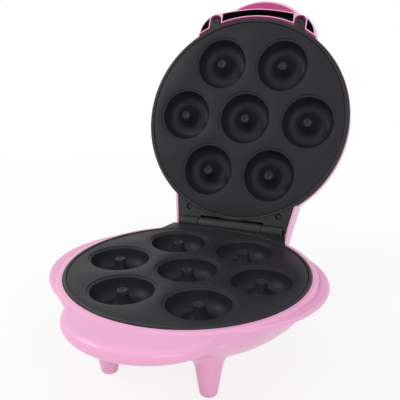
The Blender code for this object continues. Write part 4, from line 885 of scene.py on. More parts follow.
def pod_body(bm):
    """The rear pod that holds the supply, a rounded box with soft corners."""
    half_x, half_y, middle = POD_PLAN
    levels = [(POD_CORNER - along, POD_FOOT + back) for back, along in quarter(POD_CORNER, 6)]
    levels += [(back, POD_TOP - POD_CORNER + along) for back, along in quarter(POD_CORNER, 6)]
    rings = [[(0, middle, POD_FOOT)]]
    for pull, height in levels:
        plan = oval(half_x - pull, half_y - pull, middle, 128, POD_SQUARENESS)
        rings.append([(x, y, height) for x, y in plan])
    skin(bm, rings + [[(0, middle, POD_TOP)]], caps=False)


def pod_hollow(bm):
    """The room inside the pod."""
    half_x, half_y, middle = POD_PLAN
    slab(bm, oval(half_x - POD_WALL, half_y - POD_WALL, middle, 96, POD_SQUARENESS), -38.8, -22.7)


def shelf_outline(margin):
    """The plan of the black shelf behind the base frame's ring."""
    middle = 98.15 - margin
    limit = math.asin((62.5 + margin) / middle)
    back = 100.2 + margin
    front = []
    for n in range(33):
        angle = math.pi / 2 + limit * (2 * n / 32 - 1)
        front.append((middle * math.cos(angle), middle * math.sin(angle)))
    left = [(-60.5 - margin, 83.0), (-56.2 - margin, back)]
    return front + left + [(-x, y) for x, y in reversed(left)]


def draw_base_shell():
    """The bowl with its lobes and lip, the screw columns, the legs and the rear pod."""
    pink = finish_for("pink_shell")
    bowl = base_bowl(bpy.context.scene.cooker_sizes.facets)

    def columns(bm):
        for place in on_circle(TAB_RADIUS, BASE_SCREW_ANGLES):
            lathe(bm, [(0, -33.0), (4.6, -33.0), (4.6, -8.9), (0, -8.9)], CUP_FACETS, place)
        # Each column's foot follows the bowl's wall, a little inside it.
        for vert in bm.verts:
            if vert.co.z < -20:
                reach = math.hypot(vert.co.x, vert.co.y)
                vert.co.z = np.interp(reach, BOWL_LINE[::-1, 0], BOWL_LINE[::-1, 1]) + 0.7

    def bores(bm):
        head, shank = 3.7, SCREW_BORE
        profile = [(0, -46.0), (head, -46.0), (head, -26.0), (shank, -26.0), (shank, -5.0), (0, -5.0)]
        for place in on_circle(TAB_RADIUS, BASE_SCREW_ANGLES):
            lathe(bm, profile, CUP_FACETS, place)

    def cord_hole(bm):
        turns = np.linspace(0, 2 * math.pi, CUP_FACETS + 1)[:-1]
        skin(bm, [[(5.5 * math.cos(a), y, -30.5 + 5.5 * math.sin(a)) for a in turns] for y in (104.0, 118.0)])

    carve(bowl, solid("columns", columns, pink), "UNION")
    carve(bowl, solid("bores", bores, pink))
    shelf = shelf_outline(0.3)
    carve(bowl, solid("shelf_room", lambda bm: skin(bm, [[(*p, z) for p in shelf] for z in (-5.8, 3.0)]), pink))
    carve(bowl, solid("hinge_room", lambda bm: box(bm, (-32.7, 87.9, -15.5), (32.7, HINGE.y, 3.0)), pink))
    parts = [bowl]
    for place in LEG_PLACES:
        draw = rear_leg if place[1] > 0 else front_leg
        parts.append(solid("leg", lambda bm, at=place, way=draw: way(bm, at), pink))
    pod = carve(solid("pod", pod_body, pink), solid("pod_hollow", pod_hollow, pink))
    carve(pod, solid("cord_hole", cord_hole, pink))
    seat(merged("base_shell_body", parts + [pod]), "base", ["base_shell"], 40)


# Frames

def on_circle(radius, angles):
    return [(radius * math.cos(a), radius * math.sin(a)) for a in angles]


def flipped(outline):
    """The outline mirrored to the other side."""
    return [(-x, y) for x, y in outline][::-1]


def seat_profile(side, start):
    """A frame ring's section from its outer points start round the plate's seat; side is 1 for the lid."""
    inner = [(FRAME_BORE, FRAME_BACK, 0.3), (FRAME_BORE, SEAT_DEPTH, 0.3), (SEAT_RADIUS, SEAT_DEPTH, 0),
             (SEAT_RADIUS, FACE, 0.45)]
    return rounded([(r, side * height, soft) for r, height, soft in start + inner], 5)


def frame_tabs(bm, angles, side):
    """Tabs for the screws behind the ring, at the back of the base for side -1 and of the lid for 1."""
    plan = rounded([(78.5, -5.5, 1.5), (93.0, -5.5, 0), (93.0, 5.5, 0), (78.5, 5.5, 1.5)], 5)
    for angle in angles:
        turn = Matrix.Rotation(angle, 2)
        outline = [tuple(turn @ Vector(point)) for point in plan]
        slab(bm, outline, *sorted((side * 8.6, side * 4.6)), 0.4, 0.4)


def drill(made, places, radius, low, high, finish):
    """Drills an upright hole at each place."""
    def holes(bm):
        for place in places:
            lathe(bm, [(0, low), (radius, low), (radius, high), (0, high)], BORE_FACETS, place)

    return carve(made, solid("drill", holes, finish))


def bore_hinge(made, finish):
    """Bores the body along the hinge pin."""
    start = (-60.0, HINGE.y, HINGE.z)
    return carve(made, solid("bore", lambda bm: bar(bm, start, 60.0, PIN_BORE, 0.1, CUP_FACETS), finish))


def stop_ribs(bm):
    """The two ribs that meet the lid's rear wall when it is open."""
    for x in (-26.0, 22.0):
        rib = rounded([(x, 94.5, 0), (x + 4, 94.5, 0), (x + 4, 103.3, 0.6), (x, 103.3, 0.6)], 3)
        slab(bm, rib, -12.9, -10.4, 0.3, 0.3)


def draw_base_frame():
    """The ring round the lower plate, with its tabs, shelf, hinge web, skirt, knuckle and stop ribs."""
    black = finish_for("black_frame")
    outer = [(FRAME_RADIUS, FACE, 0.8), (FRAME_RADIUS, FRAME_BACK, 0.3)]
    ring = solid("ring", lambda bm: lathe(bm, seat_profile(-1, outer), RIM_FACETS, loop=True), black)
    screws = BASE_SCREW_ANGLES + PLATE_SCREW_ANGLES
    tabs = solid("tabs", lambda bm: frame_tabs(bm, screws, -1), black)
    drill(tabs, on_circle(TAB_RADIUS, screws), SCREW_BORE, -12, -2, black)
    shelf = solid("shelf", lambda bm: slab(bm, shelf_outline(0.0), -5.5, -0.6, 0.3, 0.6), black)
    rear = HINGE.y - 3.5
    web = [(-KNUCKLE_HALF, 93.0), (KNUCKLE_HALF, 93.0), (KNUCKLE_HALF, rear), (-KNUCKLE_HALF, rear)]
    web = solid("web", lambda bm: slab(bm, web, -5.4, -0.9, 0.2, 0.4), black)
    skirt = []
    for radius, turns in ((98.5, range(13)), (100.5, range(12, -1, -1))):
        limit = math.asin(KNUCKLE_HALF / radius)
        angles = [limit * (n / 6 - 1) for n in turns]
        skirt += [(radius * math.sin(a), radius * math.cos(a)) for a in angles]
    skirt = solid("skirt", lambda bm: slab(bm, skirt, -14.3, -1.7, 0.4, 0.3), black)
    start = (-KNUCKLE_HALF, HINGE.y, HINGE.z)
    knuckle = solid("knuckle", lambda bm: bar(bm, start, KNUCKLE_HALF, KNUCKLE_RADIUS), black)
    bore_hinge(knuckle, black)
    ribs = solid("ribs", stop_ribs, black)
    made = merged("base_frame_ring", [ring, tabs, shelf, web, skirt, knuckle, ribs])
    seat(made, "base", ["base_frame"])


def slim_ear():
    """The black ear itself, slimmer than its recess so that a gap shows round it."""
    return rounded([
        (47.8, -76.0, 0), (47.8, -95.0, 1.5), (46.7, -98.5, 2.5), (45.5, -101.9, 1.9),
        (40.5, -101.9, 1.9), (39.3, -98.5, 2.5), (38.2, -95.0, 1.5), (38.2, -76.0, 0),
    ], 5)


def ear_recess():
    """The domed recess in the handle that an ear lies in."""
    return rounded([(48.7, -76.0, 0), (48.7, -103.2, 4.8), (37.3, -103.2, 4.8), (37.3, -76.0, 0)], 8)


def neck_outline(inset, front=NECK_FRONT):
    """The neck's plan from its front line to its rear corners, moved in by inset."""
    rear, corner = NECK_REAR - inset, 3.6
    wide = NECK_FRONT_HALF + (NECK_REAR_HALF - NECK_FRONT_HALF) * (front - NECK_FRONT) / (NECK_REAR - NECK_FRONT)
    return rounded([
        (wide - inset, front, 0), (NECK_REAR_HALF - inset, rear, corner), (-NECK_REAR_HALF + inset, rear, corner),
        (-wide + inset, front, 0),
    ], 8)


def outside_ring(made, finish):
    """Cuts away what lies inside the lid's ring."""
    profile = [(0, -4), (98.6, -4), (98.6, 40), (0, 40)]
    return carve(made, solid("circle", lambda bm: lathe(bm, profile, RIM_FACETS), finish))


def hood(bm):
    """The half-round cover over the slot, behind the base's knuckle."""
    turns = np.linspace(0, math.pi, 41)
    section = [(HOOD_RADIUS, a) for a in turns] + [(HOOD_BORE, a) for a in turns[::-1]]
    points = [(HINGE.y + r * math.cos(a), max(HINGE.z + r * math.sin(a), FACE + 0.3)) for r, a in section]
    skin(bm, [[(x, y, z) for y, z in points] for x in (-HOOD_HALF, HOOD_HALF)])


def screw_cup(bm, place):
    """The cup that a lid screw's head lies in, and the neck of its hole."""
    low = 1.0 if place in EAR_SCREWS else FACE - 0.1
    inside = [(2.8, low, 0.2), (2.8, 3.6, 0), (SCREW_BORE, 3.6, 0), (SCREW_BORE, 5.1, 0)]
    wall = rounded(inside + [(3.3, 5.1, 0.3), (3.3, low, 0.2)], 3)
    lathe(bm, wall, CUP_FACETS, place, loop=True)


def draw_lid_frame():
    """The ring round the upper plate, with its tabs, neck face, hood, knuckles, ears and screw cups."""
    black = finish_for("black_frame")
    outer = [(LID_FRAME_RADIUS, FACE, 0.8), (LID_FRAME_RADIUS, 2.8, 0.3), (98.3, 2.8, 0), (98.3, FRAME_BACK, 0.3)]
    ring = solid("ring", lambda bm: lathe(bm, seat_profile(1, outer), RIM_FACETS, loop=True), black)
    tabs = solid("tabs", lambda bm: frame_tabs(bm, PLATE_SCREW_ANGLES, 1), black)
    drill(tabs, on_circle(TAB_RADIUS, PLATE_SCREW_ANGLES), SCREW_BORE, 2, 12, black)
    face = solid("neck_face", lambda bm: slab(bm, neck_outline(2.1), FACE, 2.5, 0.45, 0.2), black)
    outside_ring(face, black)
    half = LID_KNUCKLE_START
    slot = solid("slot", lambda bm: box(bm, (-half, HINGE.y - 8.2, -3.0), (half, 125.0, 9.0)), black)
    carve(face, slot)
    knuckles = []
    for side in (-1, 1):
        start, end = (side * LID_KNUCKLE_START, HINGE.y, HINGE.z), side * LID_KNUCKLE_END
        knuckle = solid("knuckle", lambda bm, a=start, b=end: bar(bm, a, b, KNUCKLE_RADIUS), black)
        knuckles.append(bore_hinge(knuckle, black))
    bore_hinge(face, black)
    ears = []
    for outline in (slim_ear(), flipped(slim_ear())):
        ear = solid("ear", lambda bm, plan=outline: slab(bm, plan, 1.1, 2.8, 0.4, 0.2), black)
        ears.append(outside_ring(ear, black))
    cups = [solid("cup", lambda bm, at=place: screw_cup(bm, at), black) for place in EAR_SCREWS + NECK_SCREWS]
    for made in [face] + ears:
        drill(made, EAR_SCREWS + NECK_SCREWS, 3.1, -2, 8, black)
    cover = solid("hood", hood, black)
    made = merged("lid_frame_ring", [ring, tabs, face, cover] + knuckles + ears + cups)
    seat(made, "lid", ["lid_frame"])


# Plates

def well_line():
    """The well's surface from the post's dimple out over the mouth to the shallow step, at the face."""
    post = [(0, -1.35), (1.2, -1.3), (2.3, -0.95), (3.0, -0.7), (3.7, -0.75), (4.2, -1.3)]
    side = [(4.7, -3.6), (5.5, -6.8), (6.8, -9.8), (8.8, -12.6), (11.6, -14.7), (15.0, -15.5)]
    wall = [(18.4, -14.8), (21.3, -12.4), (23.2, -8.9), (24.15, -4.8), (24.4, -1.7)]
    step = [(24.7, -1.05), (25.1, -0.85), (26.5, -0.8), (26.85, -0.65), (27.0, -0.15), (WELL_MOUTH, 0.0)]
    line = smooth_line(post + side + wall, 3) + smooth_line(step, 2)
    return [(r, z - PLATE_FACE) for r, z in line]


def well_back():
    """The well's wall seen from behind, from the post's hollow out to the flat behind the plate."""
    hollow = [(0, -2.85), (1.4, -2.85), (2.4, -3.2), (3.1, -4.6), (4.0, -7.4), (5.4, -10.7), (7.7, -13.8)]
    bulge = [(11.1, -16.1), (15.0, -17.0), (19.1, -16.2), (22.6, -13.4), (24.7, -9.3), (25.6, -5.2), (26.1, -2.9)]
    line = smooth_line(hollow + bulge + [(27.2, -1.8), (WELL_BACK, -PLATE_WALL)], 3)
    return [(r, z - PLATE_FACE) for r, z in line]


def well_places():
    """The middles of the seven wells."""
    return [(0.0, 0.0)] + on_circle(WELL_PITCH, [math.pi / 3 * n for n in range(6)])


def plate_flat(bm, radius, height, opening):
    """A flat disc with an opening for each well; its outer ring of vertices."""
    edges, rims = [], []
    wells = [(opening, centre, WELL_FACETS) for centre in well_places()]
    for reach, centre, count in [(radius, (0, 0), RIM_FACETS)] + wells:
        ring = [bm.verts.new((x, y, height)) for x, y in circle(reach, count, centre)]
        rims.append(ring)
        edges += [bm.edges.new((ring[n - 1], ring[n])) for n in range(count)]
    bmesh.ops.triangle_fill(bm, edges=edges, use_beauty=True)
    return rims[0]


def plate_flats(bm):
    """The plate's face and back between the wells, joined by its rounded edge."""
    inner, top = PLATE_RADIUS - PLATE_WALL, -PLATE_FACE
    rows = [plate_flat(bm, PLATE_RADIUS - 0.4, top, WELL_MOUTH)]
    edge = [(PLATE_RADIUS - 0.12, top - 0.1), (PLATE_RADIUS, top - 0.4), (PLATE_RADIUS, -PLATE_FOOT)]
    for radius, height in edge + [(inner, -PLATE_FOOT)]:
        rows.append([bm.verts.new((x, y, height)) for x, y in circle(radius, RIM_FACETS)])
    rows.append(plate_flat(bm, inner, top - PLATE_WALL, WELL_BACK))
    joined(bm, rows)


def well(bm):
    """One well's face and back, which the seven are repeated from."""
    for line in (well_line(), well_back()):
        lathe(bm, line, WELL_FACETS)


def plate_bosses(bm):
    """Tapped bosses behind the plate for its two screws."""
    for place in on_circle(TAB_RADIUS, PLATE_SCREW_ANGLES):
        profile = [(SCREW_BORE, -4.3), (BOSS_RADIUS, -4.3), (BOSS_RADIUS, -2.0), (SCREW_BORE, -2.0)]
        lathe(bm, profile, BORE_FACETS, place, loop=True)


def turned_over(made):
    """Mirrors a lower piece through the parting plane, for the lid."""
    made.data.transform(Matrix.Scale(-1, 4, (0, 0, 1)))
    made.data.flip_normals()


def draw_plate(name, body, node):
    """One cast plate with its seven wells; the lid's is the base's turned over."""
    coat = finish_for("coated_plate")
    wells = repeated("wells", solid("well", well, coat), well_places(), coat)
    bm = bmesh.new()
    plate_flats(bm)
    bm.from_mesh(wells.data)
    bpy.data.objects.remove(wells, do_unlink=True)
    bmesh.ops.remove_doubles(bm, verts=bm.verts, dist=0.01)
    made = merged(name, [object_from(name, bm, [coat]), solid("bosses", plate_bosses, coat)])
    if body == "lid":
        turned_over(made)
    seat(made, body, [node], 50)


# Lid shell

def lid_crown():
    """The lid's dome as one wall of even depth, with the holes for the two lenses."""
    outside = smooth_line(CROWN_SIDE, 5)
    outside[-1] = (0.0, outside[-1][1])
    inside = []
    for n, (r, z) in enumerate(outside):
        before, after = outside[max(n - 1, 0)], outside[min(n + 1, len(outside) - 1)]
        along = Vector((after[0] - before[0], after[1] - before[1])).normalized()
        inside.append((max(r - CROWN_WALL * along.y, 0), z + CROWN_WALL * along.x))
    inside[0] = (inside[0][0], outside[0][1])
    inside[-1] = (0.0, inside[-1][1])
    pink = finish_for("pink_shell")
    made = solid("crown", lambda bm: lathe(bm, inside[::-1][::2] + outside, RIM_FACETS), pink)
    return drill(made, LENS_HOLES, LENS_HOLE_RADIUS, 18, 45, pink)


def handle_outline(inset):
    """The handle block's plan, an arch from one root to the other, moved in by inset."""
    right = [(x, HANDLE_MIDDLE - y) for x, y in HANDLE_ARCH]
    root, side = right[0][0], right + [(-x, y) for x, y in right[-2::-1]]
    return moved_in([(root, HANDLE_ROOT)] + smooth_line(side, 6) + [(-root, HANDLE_ROOT)], inset)


def tinted(made, finish, test):
    """Gives the faces that pass the test, by outward normal and middle, another finish."""
    made.data.materials.append(finish)
    last = len(made.data.materials) - 1
    for face in made.data.polygons:
        if test(face.normal, face.center):
            face.material_index = last
    return made


def handle_block(bm):
    """The handle block, its outer wall leaning out from the face to the full plan behind."""
    draft = ((1.35, 0.5), (1.2, 1.4), (0.75, 4.0), (0.5, 7.5), (0.7, 12.0), (1.7, 20.8), (2.0, 21.5), (2.7, 21.8))
    skin(bm, [[(x, y, height) for x, y in handle_outline(pull)] for pull, height in draft])


def pocket(low_x, high_x, pocket_shade):
    """What a pocket takes out of the handle block: the arch outside the crown's wall, between two sides."""
    # Its cut faces take the finish given, the black that stands as painted shade in the pockets.
    made = solid("pocket", lambda bm: slab(bm, handle_outline(2.2), -3.0, 15.3), pocket_shade)
    disc = [(0, -6), (103.0, -6), (103.0, 20), (0, 20)]
    carve(made, solid("disc", lambda bm: lathe(bm, disc, RIM_FACETS), pocket_shade))
    for low, high in ((-90.0, low_x), (high_x, 90.0)):
        carve(made, solid("side", lambda bm, a=low, b=high: box(bm, (a, -130, -6), (b, 0, 20)), pocket_shade))
    return made


def neck_wall(bm):
    """The hinge neck's walls and back, rounded along its top edge."""
    levels = [(0, 0.5), (0, 8.0), (0, 15.0)] + [(back, 19.7 + along) for back, along in quarter(3.0, 6)]
    outlines = [(neck_outline(pull, NECK_FRONT + pull * 0.2), height) for pull, height in levels]
    skin(bm, [[(x, y, height) for x, y in outline] for outline, height in outlines])


def neck_bosses(bm):
    """Bored bosses behind the neck's two screws."""
    outside = [(BOSS_RADIUS, 5.4), (BOSS_RADIUS, 21.5), (0, 21.5)]
    section = [(SCREW_BORE, 5.4)] + outside + [(0, 12.6), (SCREW_BORE, 12.6)]
    for place in NECK_SCREWS:
        lathe(bm, section, BORE_FACETS, place, loop=True)


# What the crown takes out of each body that meets it, as (radius, height) sections
NECK_ROOM = ((0, -4), (98.7, -4), (98.7, 14), (97.6, 18), (95.0, 22.0), (90, 26), (60, 31), (0, 33))
HANDLE_ROOM = ((0, -4), (102.1, -4), (102.1, 2.9), (99.0, 3.1), (99.0, 14), (96.0, 20), (92, 26), (0, 30))
GRIP_ROOM = ((0, 10), (97.0, 10), (97.0, 19), (95.0, 22.5), (91, 25.6), (80, 29), (0, 33))


def crown_room(section, finish):
    return solid("crown_room", lambda bm: lathe(bm, section, RIM_FACETS), finish)


def draw_lid_shell():
    """The crown with its neck, pocketed handle block, grip and screw bosses."""
    # The deeper pink and the pocket black are painted shade, on faces in gaps, recesses, pockets and under the
    # grip.
    pink, deep, pocket_shade = (finish_for(slot) for slot in ("pink_shell", "painted_shade_pink", "pocket_shade"))
    # Painted shade: the crown's faces below 3.4 mm, in the gap beside the frame's ring, take the deeper pink.
    crown = tinted(lid_crown(), deep, lambda normal, middle: middle.z < 3.4)
    start = (-33.3, HINGE.y, HINGE.z)
    # Painted shade: the faces the hood's room cuts, in the gap round the hood, take the deeper pink.
    carve(crown, solid("hood_room", lambda bm: bar(bm, start, 33.3, 8.6, 0.1), deep))

    neck = solid("neck", neck_wall, pink)
    carve(neck, solid("inner", lambda bm: slab(bm, neck_outline(1.8, 50.0), -3.0, 20.9), pink))
    carve(neck, crown_room(NECK_ROOM, pink))

    handle = solid("handle", handle_block, pink)
    # Painted shade: the faces cut by the crown's room, in the gap by the ring, take the deeper pink.
    carve(handle, crown_room(HANDLE_ROOM, deep))
    # Painted shade: the pockets' faces take the black.
    for low_x, high_x in ((-36.2, 36.2), (-80.0, -49.8), (49.8, 80.0)):
        carve(handle, pocket(low_x, high_x, pocket_shade))
    # Painted shade: the ear recesses' walls take the deeper pink.
    for outline in (ear_recess(), flipped(ear_recess())):
        carve(handle, solid("recess", lambda bm, plan=outline: slab(bm, plan, -3.0, 3.3), deep))
    # Painted shade: the screw counterbores take the deeper pink.
    drill(handle, EAR_SCREWS, 4.2, -3, 5.4, deep)
    drill(handle, EAR_SCREWS, SCREW_BORE, 3, 12.6, pink)

    grip_plan = oval(53.5, 48.4, -78.0, 160)
    grip = solid("grip", lambda bm: slab(bm, grip_plan, 20.5, 27.45, 3.4, 3.4, 6), pink)
    # Painted shade: the grip's downward faces take the deeper pink.
    tinted(grip, deep, lambda normal, middle: normal.z < -0.93)
    carve(grip, crown_room(GRIP_ROOM, pink))

    bosses = solid("bosses", neck_bosses, pink)
    seat(merged("lid_shell_body", [crown, neck, handle, grip, bosses]), "lid", ["lid_shell"], 40)


# Screws and pads

def screw(bm, length):
    """A pan-head screw, head down at Z 0 and its shank going up, with a turned thread."""
    head = [(0, -2.0), (1.4, -1.95), (2.1, -1.7), (2.5, -1.2), (2.65, -0.5), (2.65, 0.0), (1.2, 0.0), (1.2, 0.8)]
    shank, pitch, root, crest = 0.8, 0.9, 1.1, 1.4
    turns = int((length - 1.8) / pitch)
    thread = []
    for n in range(turns):
        start = shank + n * pitch
        thread += [(root, start + 0.1), (crest, start + 0.42), (crest, start + 0.52), (root, start + 0.85)]
    lathe(bm, head + thread + [(0.9, shank + turns * pitch + 0.3), (0, length)], SCREW_FACETS)


def cross_screw(length, finish):
    """A screw with the cross slot cut in its head."""
    made = solid("screw", lambda bm: screw(bm, length), finish)
    cross = solid("cross", lambda bm: box(bm, (-1.7, -0.45, -3.0), (1.7, 0.45, -1.1)), finish)
    carve(cross, solid("arm", lambda bm: box(bm, (-0.45, -1.7, -3.0), (0.45, 1.7, -1.1)), finish), "UNION")
    return carve(made, cross)


def head_seat():
    """The seat of a base screw's head, read from its CAD node."""
    return (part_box("base_screw_front_left")[0][2] - ROOT.z) / MM + 2.0


def draw_screws():
    """The base's, the plates' and the lid's screws, each kind repeated from one."""
    bright, dark = finish_for("steel"), finish_for("dark_steel")

    def screws(name, length, finish, places, height, turn):
        places = [(x, y, height) for x, y in places]
        return repeated(name, cross_screw(length, finish), places, finish, turn)

    shoulder = head_seat()
    places = on_circle(TAB_RADIUS, BASE_SCREW_ANGLES)
    longs = screws("base_screws", -4.9 - shoulder, bright, places, shoulder, 0.5)
    seat(longs, "base", [n for n in frame["nodes"] if n.startswith("base_screw")])
    places = on_circle(TAB_RADIUS, PLATE_SCREW_ANGLES)
    for plate, body, turn in (("lower_plate", "base", 0.7), ("upper_plate", "lid", 0.4)):
        made = screws(f"{plate}_screws", 6.9, bright, places, -8.9, turn)
        if body == "lid":
            turned_over(made)
        seat(made, body, [f"{plate}_screw_front", f"{plate}_screw_rear"])
    lids = screws("lid_screws", 8.0, dark, EAR_SCREWS + NECK_SCREWS, 3.3, 0.6)
    seat(lids, "lid", [n for n in frame["nodes"] if n.startswith("lid_screw")])


def foot_pad(bm):
    """A rubber pad with a shallow hollow in its sole."""
    rows = lathe(bm, rounded([
        (0, PAD_TOP, 0), (0, FLOOR_HEIGHT + 0.25, 0), (2.6, FLOOR_HEIGHT + 0.25, 0.3), (3.0, FLOOR_HEIGHT, 0.2),
        (4.2, FLOOR_HEIGHT, 0.5), (4.2, PAD_TOP, 0.3),
    ], 4), CUP_FACETS)
    bm.faces.new(rows[-1])


def draw_foot_pads():
    """The four pads in the legs' ends."""
    rubber = finish_for("rubber")
    pads = repeated("foot_pads", solid("pad", foot_pad, rubber), LEG_PLACES, rubber)
    seat(pads, "base", [n for n in frame["nodes"] if n.startswith("foot_pad")])


# Stage

CAMERA_PLACE = ROOT + Vector((0.17539, -0.41887, 0.19647))
CAMERA_AHEAD = Vector((-0.3498, 0.8896, -0.2935)).normalized()
CAMERA_RIGHT = Vector((0.9306, 0.366, 0)).normalized()
LAMP_AIM = Vector((0, 0, 0.12))
# Each lamp's place, size and share of the key light
LAMPS = {
    "key": ((-1.4, -0.75, 1.15), 0.6, 1.0),
    "front": ((1.1, -1.5, 0.5), 1.2, 0.9),
    "top": ((0.2, 0.1, 1.6), 1.0, 0.25),
}


def plainly_seen(tree):
    """1 for rays from the camera, straight or by way of a gloss or through glass, and 0 for all others."""
    path = add(tree, "ShaderNodeLightPath")
    seen = path.outputs["Is Camera Ray"]
    for kind in ("Is Glossy Ray", "Is Transmission Ray"):
        seen = add(tree, "ShaderNodeMath", {0: seen, 1: path.outputs[kind]}, operation="MAXIMUM").outputs[0]
    return seen


def studio_floor():
    """A pale matt floor that is seen as white away from the object, and keeps the object's shadow."""
    finish, tree, place, (clouds,) = new_finish("pale studio floor", (400, 3, 0.55))
    shader = tree.nodes["Principled BSDF"]
    inputs = {"Factor": clouds, MIX_LOW: linear("#e2e1e0"), MIX_HIGH: linear("#e8e7e6")}
    colour = add(tree, "ShaderNodeMix", inputs, data_type="RGBA")
    tree.links.new(colour.outputs[MIX_RESULT], shader.inputs["Base Color"])
    shader.inputs["Roughness"].default_value = 0.9
    away = add(tree, "ShaderNodeVectorMath", {0: place}, operation="LENGTH").outputs["Value"]
    near = bpy.context.scene.cooker_look.floor_white
    inputs = {"Value": away, "From Min": 0.15, "From Max": 0.75, "To Min": near, "To Max": 1.0}
    plain = add(tree, "ShaderNodeMapRange", inputs).outputs["Result"]
    share = add(tree, "ShaderNodeMath", {0: plainly_seen(tree), 1: plain}, operation="MULTIPLY")
    white = add(tree, "ShaderNodeEmission", {"Color": (1, 1, 1, 1), "Strength": 1.0})
    mix = add(tree, "ShaderNodeMixShader", {0: share.outputs[0], 1: shader.outputs[0], 2: white.outputs[0]})
    tree.links.new(mix.outputs[0], tree.nodes["Material Output"].inputs["Surface"])
    bm = bmesh.new()
    steps = np.linspace(-3, 3, 13)
    rows = [[bm.verts.new((x, y, -0.0002)) for x in steps] for y in steps]
    for a, b in zip(rows, rows[1:]):
        for n in range(12):
            bm.faces.new((a[n], a[n + 1], b[n + 1], b[n]))
    linked("floor", bm, [finish])


def studio_room(strength):
    """A world that lights evenly and is seen as white."""
    world = bpy.data.worlds.new("studio")
    bpy.context.scene.world = world
    world.use_nodes = True
    tree = world.node_tree
    light = tree.nodes["Background"]
    light.inputs["Color"].default_value = (1, 1, 1, 1)
    light.inputs["Strength"].default_value = strength
    white = add(tree, "ShaderNodeBackground", {"Color": (1, 1, 1, 1), "Strength": 1.0})
    inputs = {0: plainly_seen(tree), 1: light.outputs[0], 2: white.outputs[0]}
    mix = add(tree, "ShaderNodeMixShader", inputs)
    tree.links.new(mix.outputs[0], tree.nodes["World Output"].inputs["Surface"])


def draw_stage():
    """The floor, the room, the soft lamps and the camera."""
    scene = bpy.context.scene
    look = scene.cooker_look
    studio_floor()
    studio_room(look.fill_light)
    for name, (place, size, share) in LAMPS.items():
        light = bpy.data.lights.new(name, "AREA")
        light.size, light.energy = size, look.key_light * share
        lamp = bpy.data.objects.new(name, light)
        scene.collection.objects.link(lamp)
        lamp.location = place
        lamp.rotation_euler = (LAMP_AIM - Vector(place)).to_track_quat("-Z", "Y").to_euler()
    camera = bpy.data.cameras.new("view")
    camera.lens, camera.sensor_width = look.lens, 36.0
    view = bpy.data.objects.new("view", camera)
    scene.collection.objects.link(view)
    up = CAMERA_RIGHT.cross(CAMERA_AHEAD).normalized()
    turn = Matrix((CAMERA_RIGHT, up, -CAMERA_AHEAD)).transposed().to_4x4()
    view.matrix_world = Matrix.Translation(CAMERA_PLACE) @ turn
    scene.camera = view
    scene.view_settings.view_transform = "Standard"


# Panel, settings and operators

class CookerSizes(bpy.types.PropertyGroup):
    facets: IntProperty(name="Facets", description="Facets round the base shell", default=320, min=64, max=512)


class CookerLook(bpy.types.PropertyGroup):
    shell_colour: FloatVectorProperty(
        name="Shell colour", description="Colour of the moulded shells", subtype="COLOR", size=3,
        default=linear("#e8a7cb")[:3], min=0, max=1)
    coat_colour: FloatVectorProperty(
        name="Coat colour", description="Colour of the plates' coat", subtype="COLOR", size=3,
        default=linear("#232125")[:3], min=0, max=1)
    lens: FloatProperty(name="Lens", description="Focal length of the camera", default=54.492, min=10, max=200)
    key_light: FloatProperty(
        name="Key light", description="Power of the main lamp", default=11.0, min=0, unit="POWER")
    floor_white: FloatProperty(
        name="Floor white", description="How much of the near floor is plain white", default=0.85, min=0, max=1)
    fill_light: FloatProperty(name="Fill light", description="Strength of the room's light", default=0.72, min=0)


class DrawingOperator:
    """What every operator here shares."""
    bl_options = {"REGISTER", "UNDO"}


class COOKER_OT_base_shell(DrawingOperator, bpy.types.Operator):
    """Moulded bowl with its lobes, lip, pod and legs"""
    bl_idname = "cooker.base_shell"
    bl_label = "Base shell"

    def execute(self, context):
        draw_base_shell()
        return {"FINISHED"}


class COOKER_OT_base_frame(DrawingOperator, bpy.types.Operator):
    """Black ring, shelf and middle knuckle of the base"""
    bl_idname = "cooker.base_frame"
    bl_label = "Base frame"

    def execute(self, context):
        draw_base_frame()
        return {"FINISHED"}


class COOKER_OT_lid_shell(DrawingOperator, bpy.types.Operator):
    """Moulded lid with its neck, handle block and grip"""
    bl_idname = "cooker.lid_shell"
    bl_label = "Lid shell"

    def execute(self, context):
        draw_lid_shell()
        return {"FINISHED"}


class COOKER_OT_lid_frame(DrawingOperator, bpy.types.Operator):
    """Black ring, neck face, knuckles and screw ears of the lid"""
    bl_idname = "cooker.lid_frame"
    bl_label = "Lid frame"

    def execute(self, context):
        draw_lid_frame()
        return {"FINISHED"}


class COOKER_OT_plates(DrawingOperator, bpy.types.Operator):
    """Both coated plates with their seven ring wells"""
    bl_idname = "cooker.plates"
    bl_label = "Plates"

    def execute(self, context):
        draw_plate("lower_plate_cast", "base", "lower_plate")
        draw_plate("upper_plate_cast", "lid", "upper_plate")
        return {"FINISHED"}


class COOKER_OT_screws(DrawingOperator, bpy.types.Operator):
    """Cross-head screws of the base, the plates and the lid"""
    bl_idname = "cooker.screws"
    bl_label = "Screws"

    def execute(self, context):
        draw_screws()
        return {"FINISHED"}


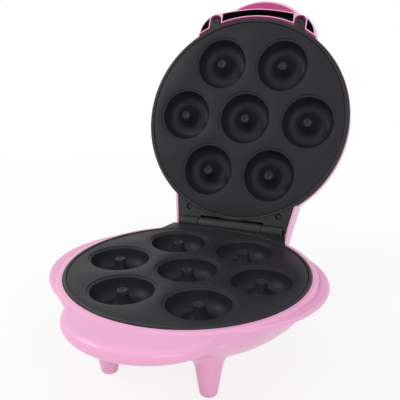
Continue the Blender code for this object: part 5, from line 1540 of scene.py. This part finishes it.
class COOKER_OT_foot_pads(DrawingOperator, bpy.types.Operator):
    """Rubber pads under the legs"""
    bl_idname = "cooker.foot_pads"
    bl_label = "Foot pads"

    def execute(self, context):
        draw_foot_pads()
        return {"FINISHED"}


class COOKER_OT_inner_parts(DrawingOperator, bpy.types.Operator):
    """Finishes of the heaters, pans, switches, leads, lamps and pin, which keep their CAD shapes"""
    bl_idname = "cooker.inner_parts"
    bl_label = "Inner parts"

    def execute(self, context):
        carry_over()
        return {"FINISHED"}


class COOKER_OT_stage(DrawingOperator, bpy.types.Operator):
    """Pale floor, soft lamps and the camera"""
    bl_idname = "cooker.stage"
    bl_label = "Stage"

    def execute(self, context):
        draw_stage()
        return {"FINISHED"}


OPERATORS = (
    COOKER_OT_base_shell, COOKER_OT_base_frame, COOKER_OT_plates, COOKER_OT_lid_shell, COOKER_OT_lid_frame,
    COOKER_OT_screws, COOKER_OT_foot_pads, COOKER_OT_inner_parts, COOKER_OT_stage,
)


class COOKER_PT_panel(bpy.types.Panel):
    """The cooker's settings and its drawing operators"""
    bl_idname = "COOKER_PT_panel"
    bl_label = "Cooker"
    bl_space_type = "VIEW_3D"
    bl_region_type = "UI"
    bl_category = "Cooker"

    def draw(self, context):
        scene = context.scene
        for settings in (scene.cooker_sizes, scene.cooker_look):
            for key in settings.__annotations__:
                self.layout.prop(settings, key)
        for operator in OPERATORS:
            self.layout.operator(operator.bl_idname)


CLASSES = (CookerSizes, CookerLook, *OPERATORS, COOKER_PT_panel)


def register():
    for one in CLASSES:
        bpy.utils.register_class(one)
    bpy.types.Scene.cooker_sizes = PointerProperty(type=CookerSizes)
    bpy.types.Scene.cooker_look = PointerProperty(type=CookerLook)


def unregister():
    del bpy.types.Scene.cooker_look
    del bpy.types.Scene.cooker_sizes
    for one in reversed(CLASSES):
        bpy.utils.unregister_class(one)


def main():
    """Draws every piece and the stage in order."""
    register()
    for operator in OPERATORS:
        family, verb = operator.bl_idname.split(".")
        getattr(getattr(bpy.ops, family), verb)()


if __name__ == "__main__":
    main()
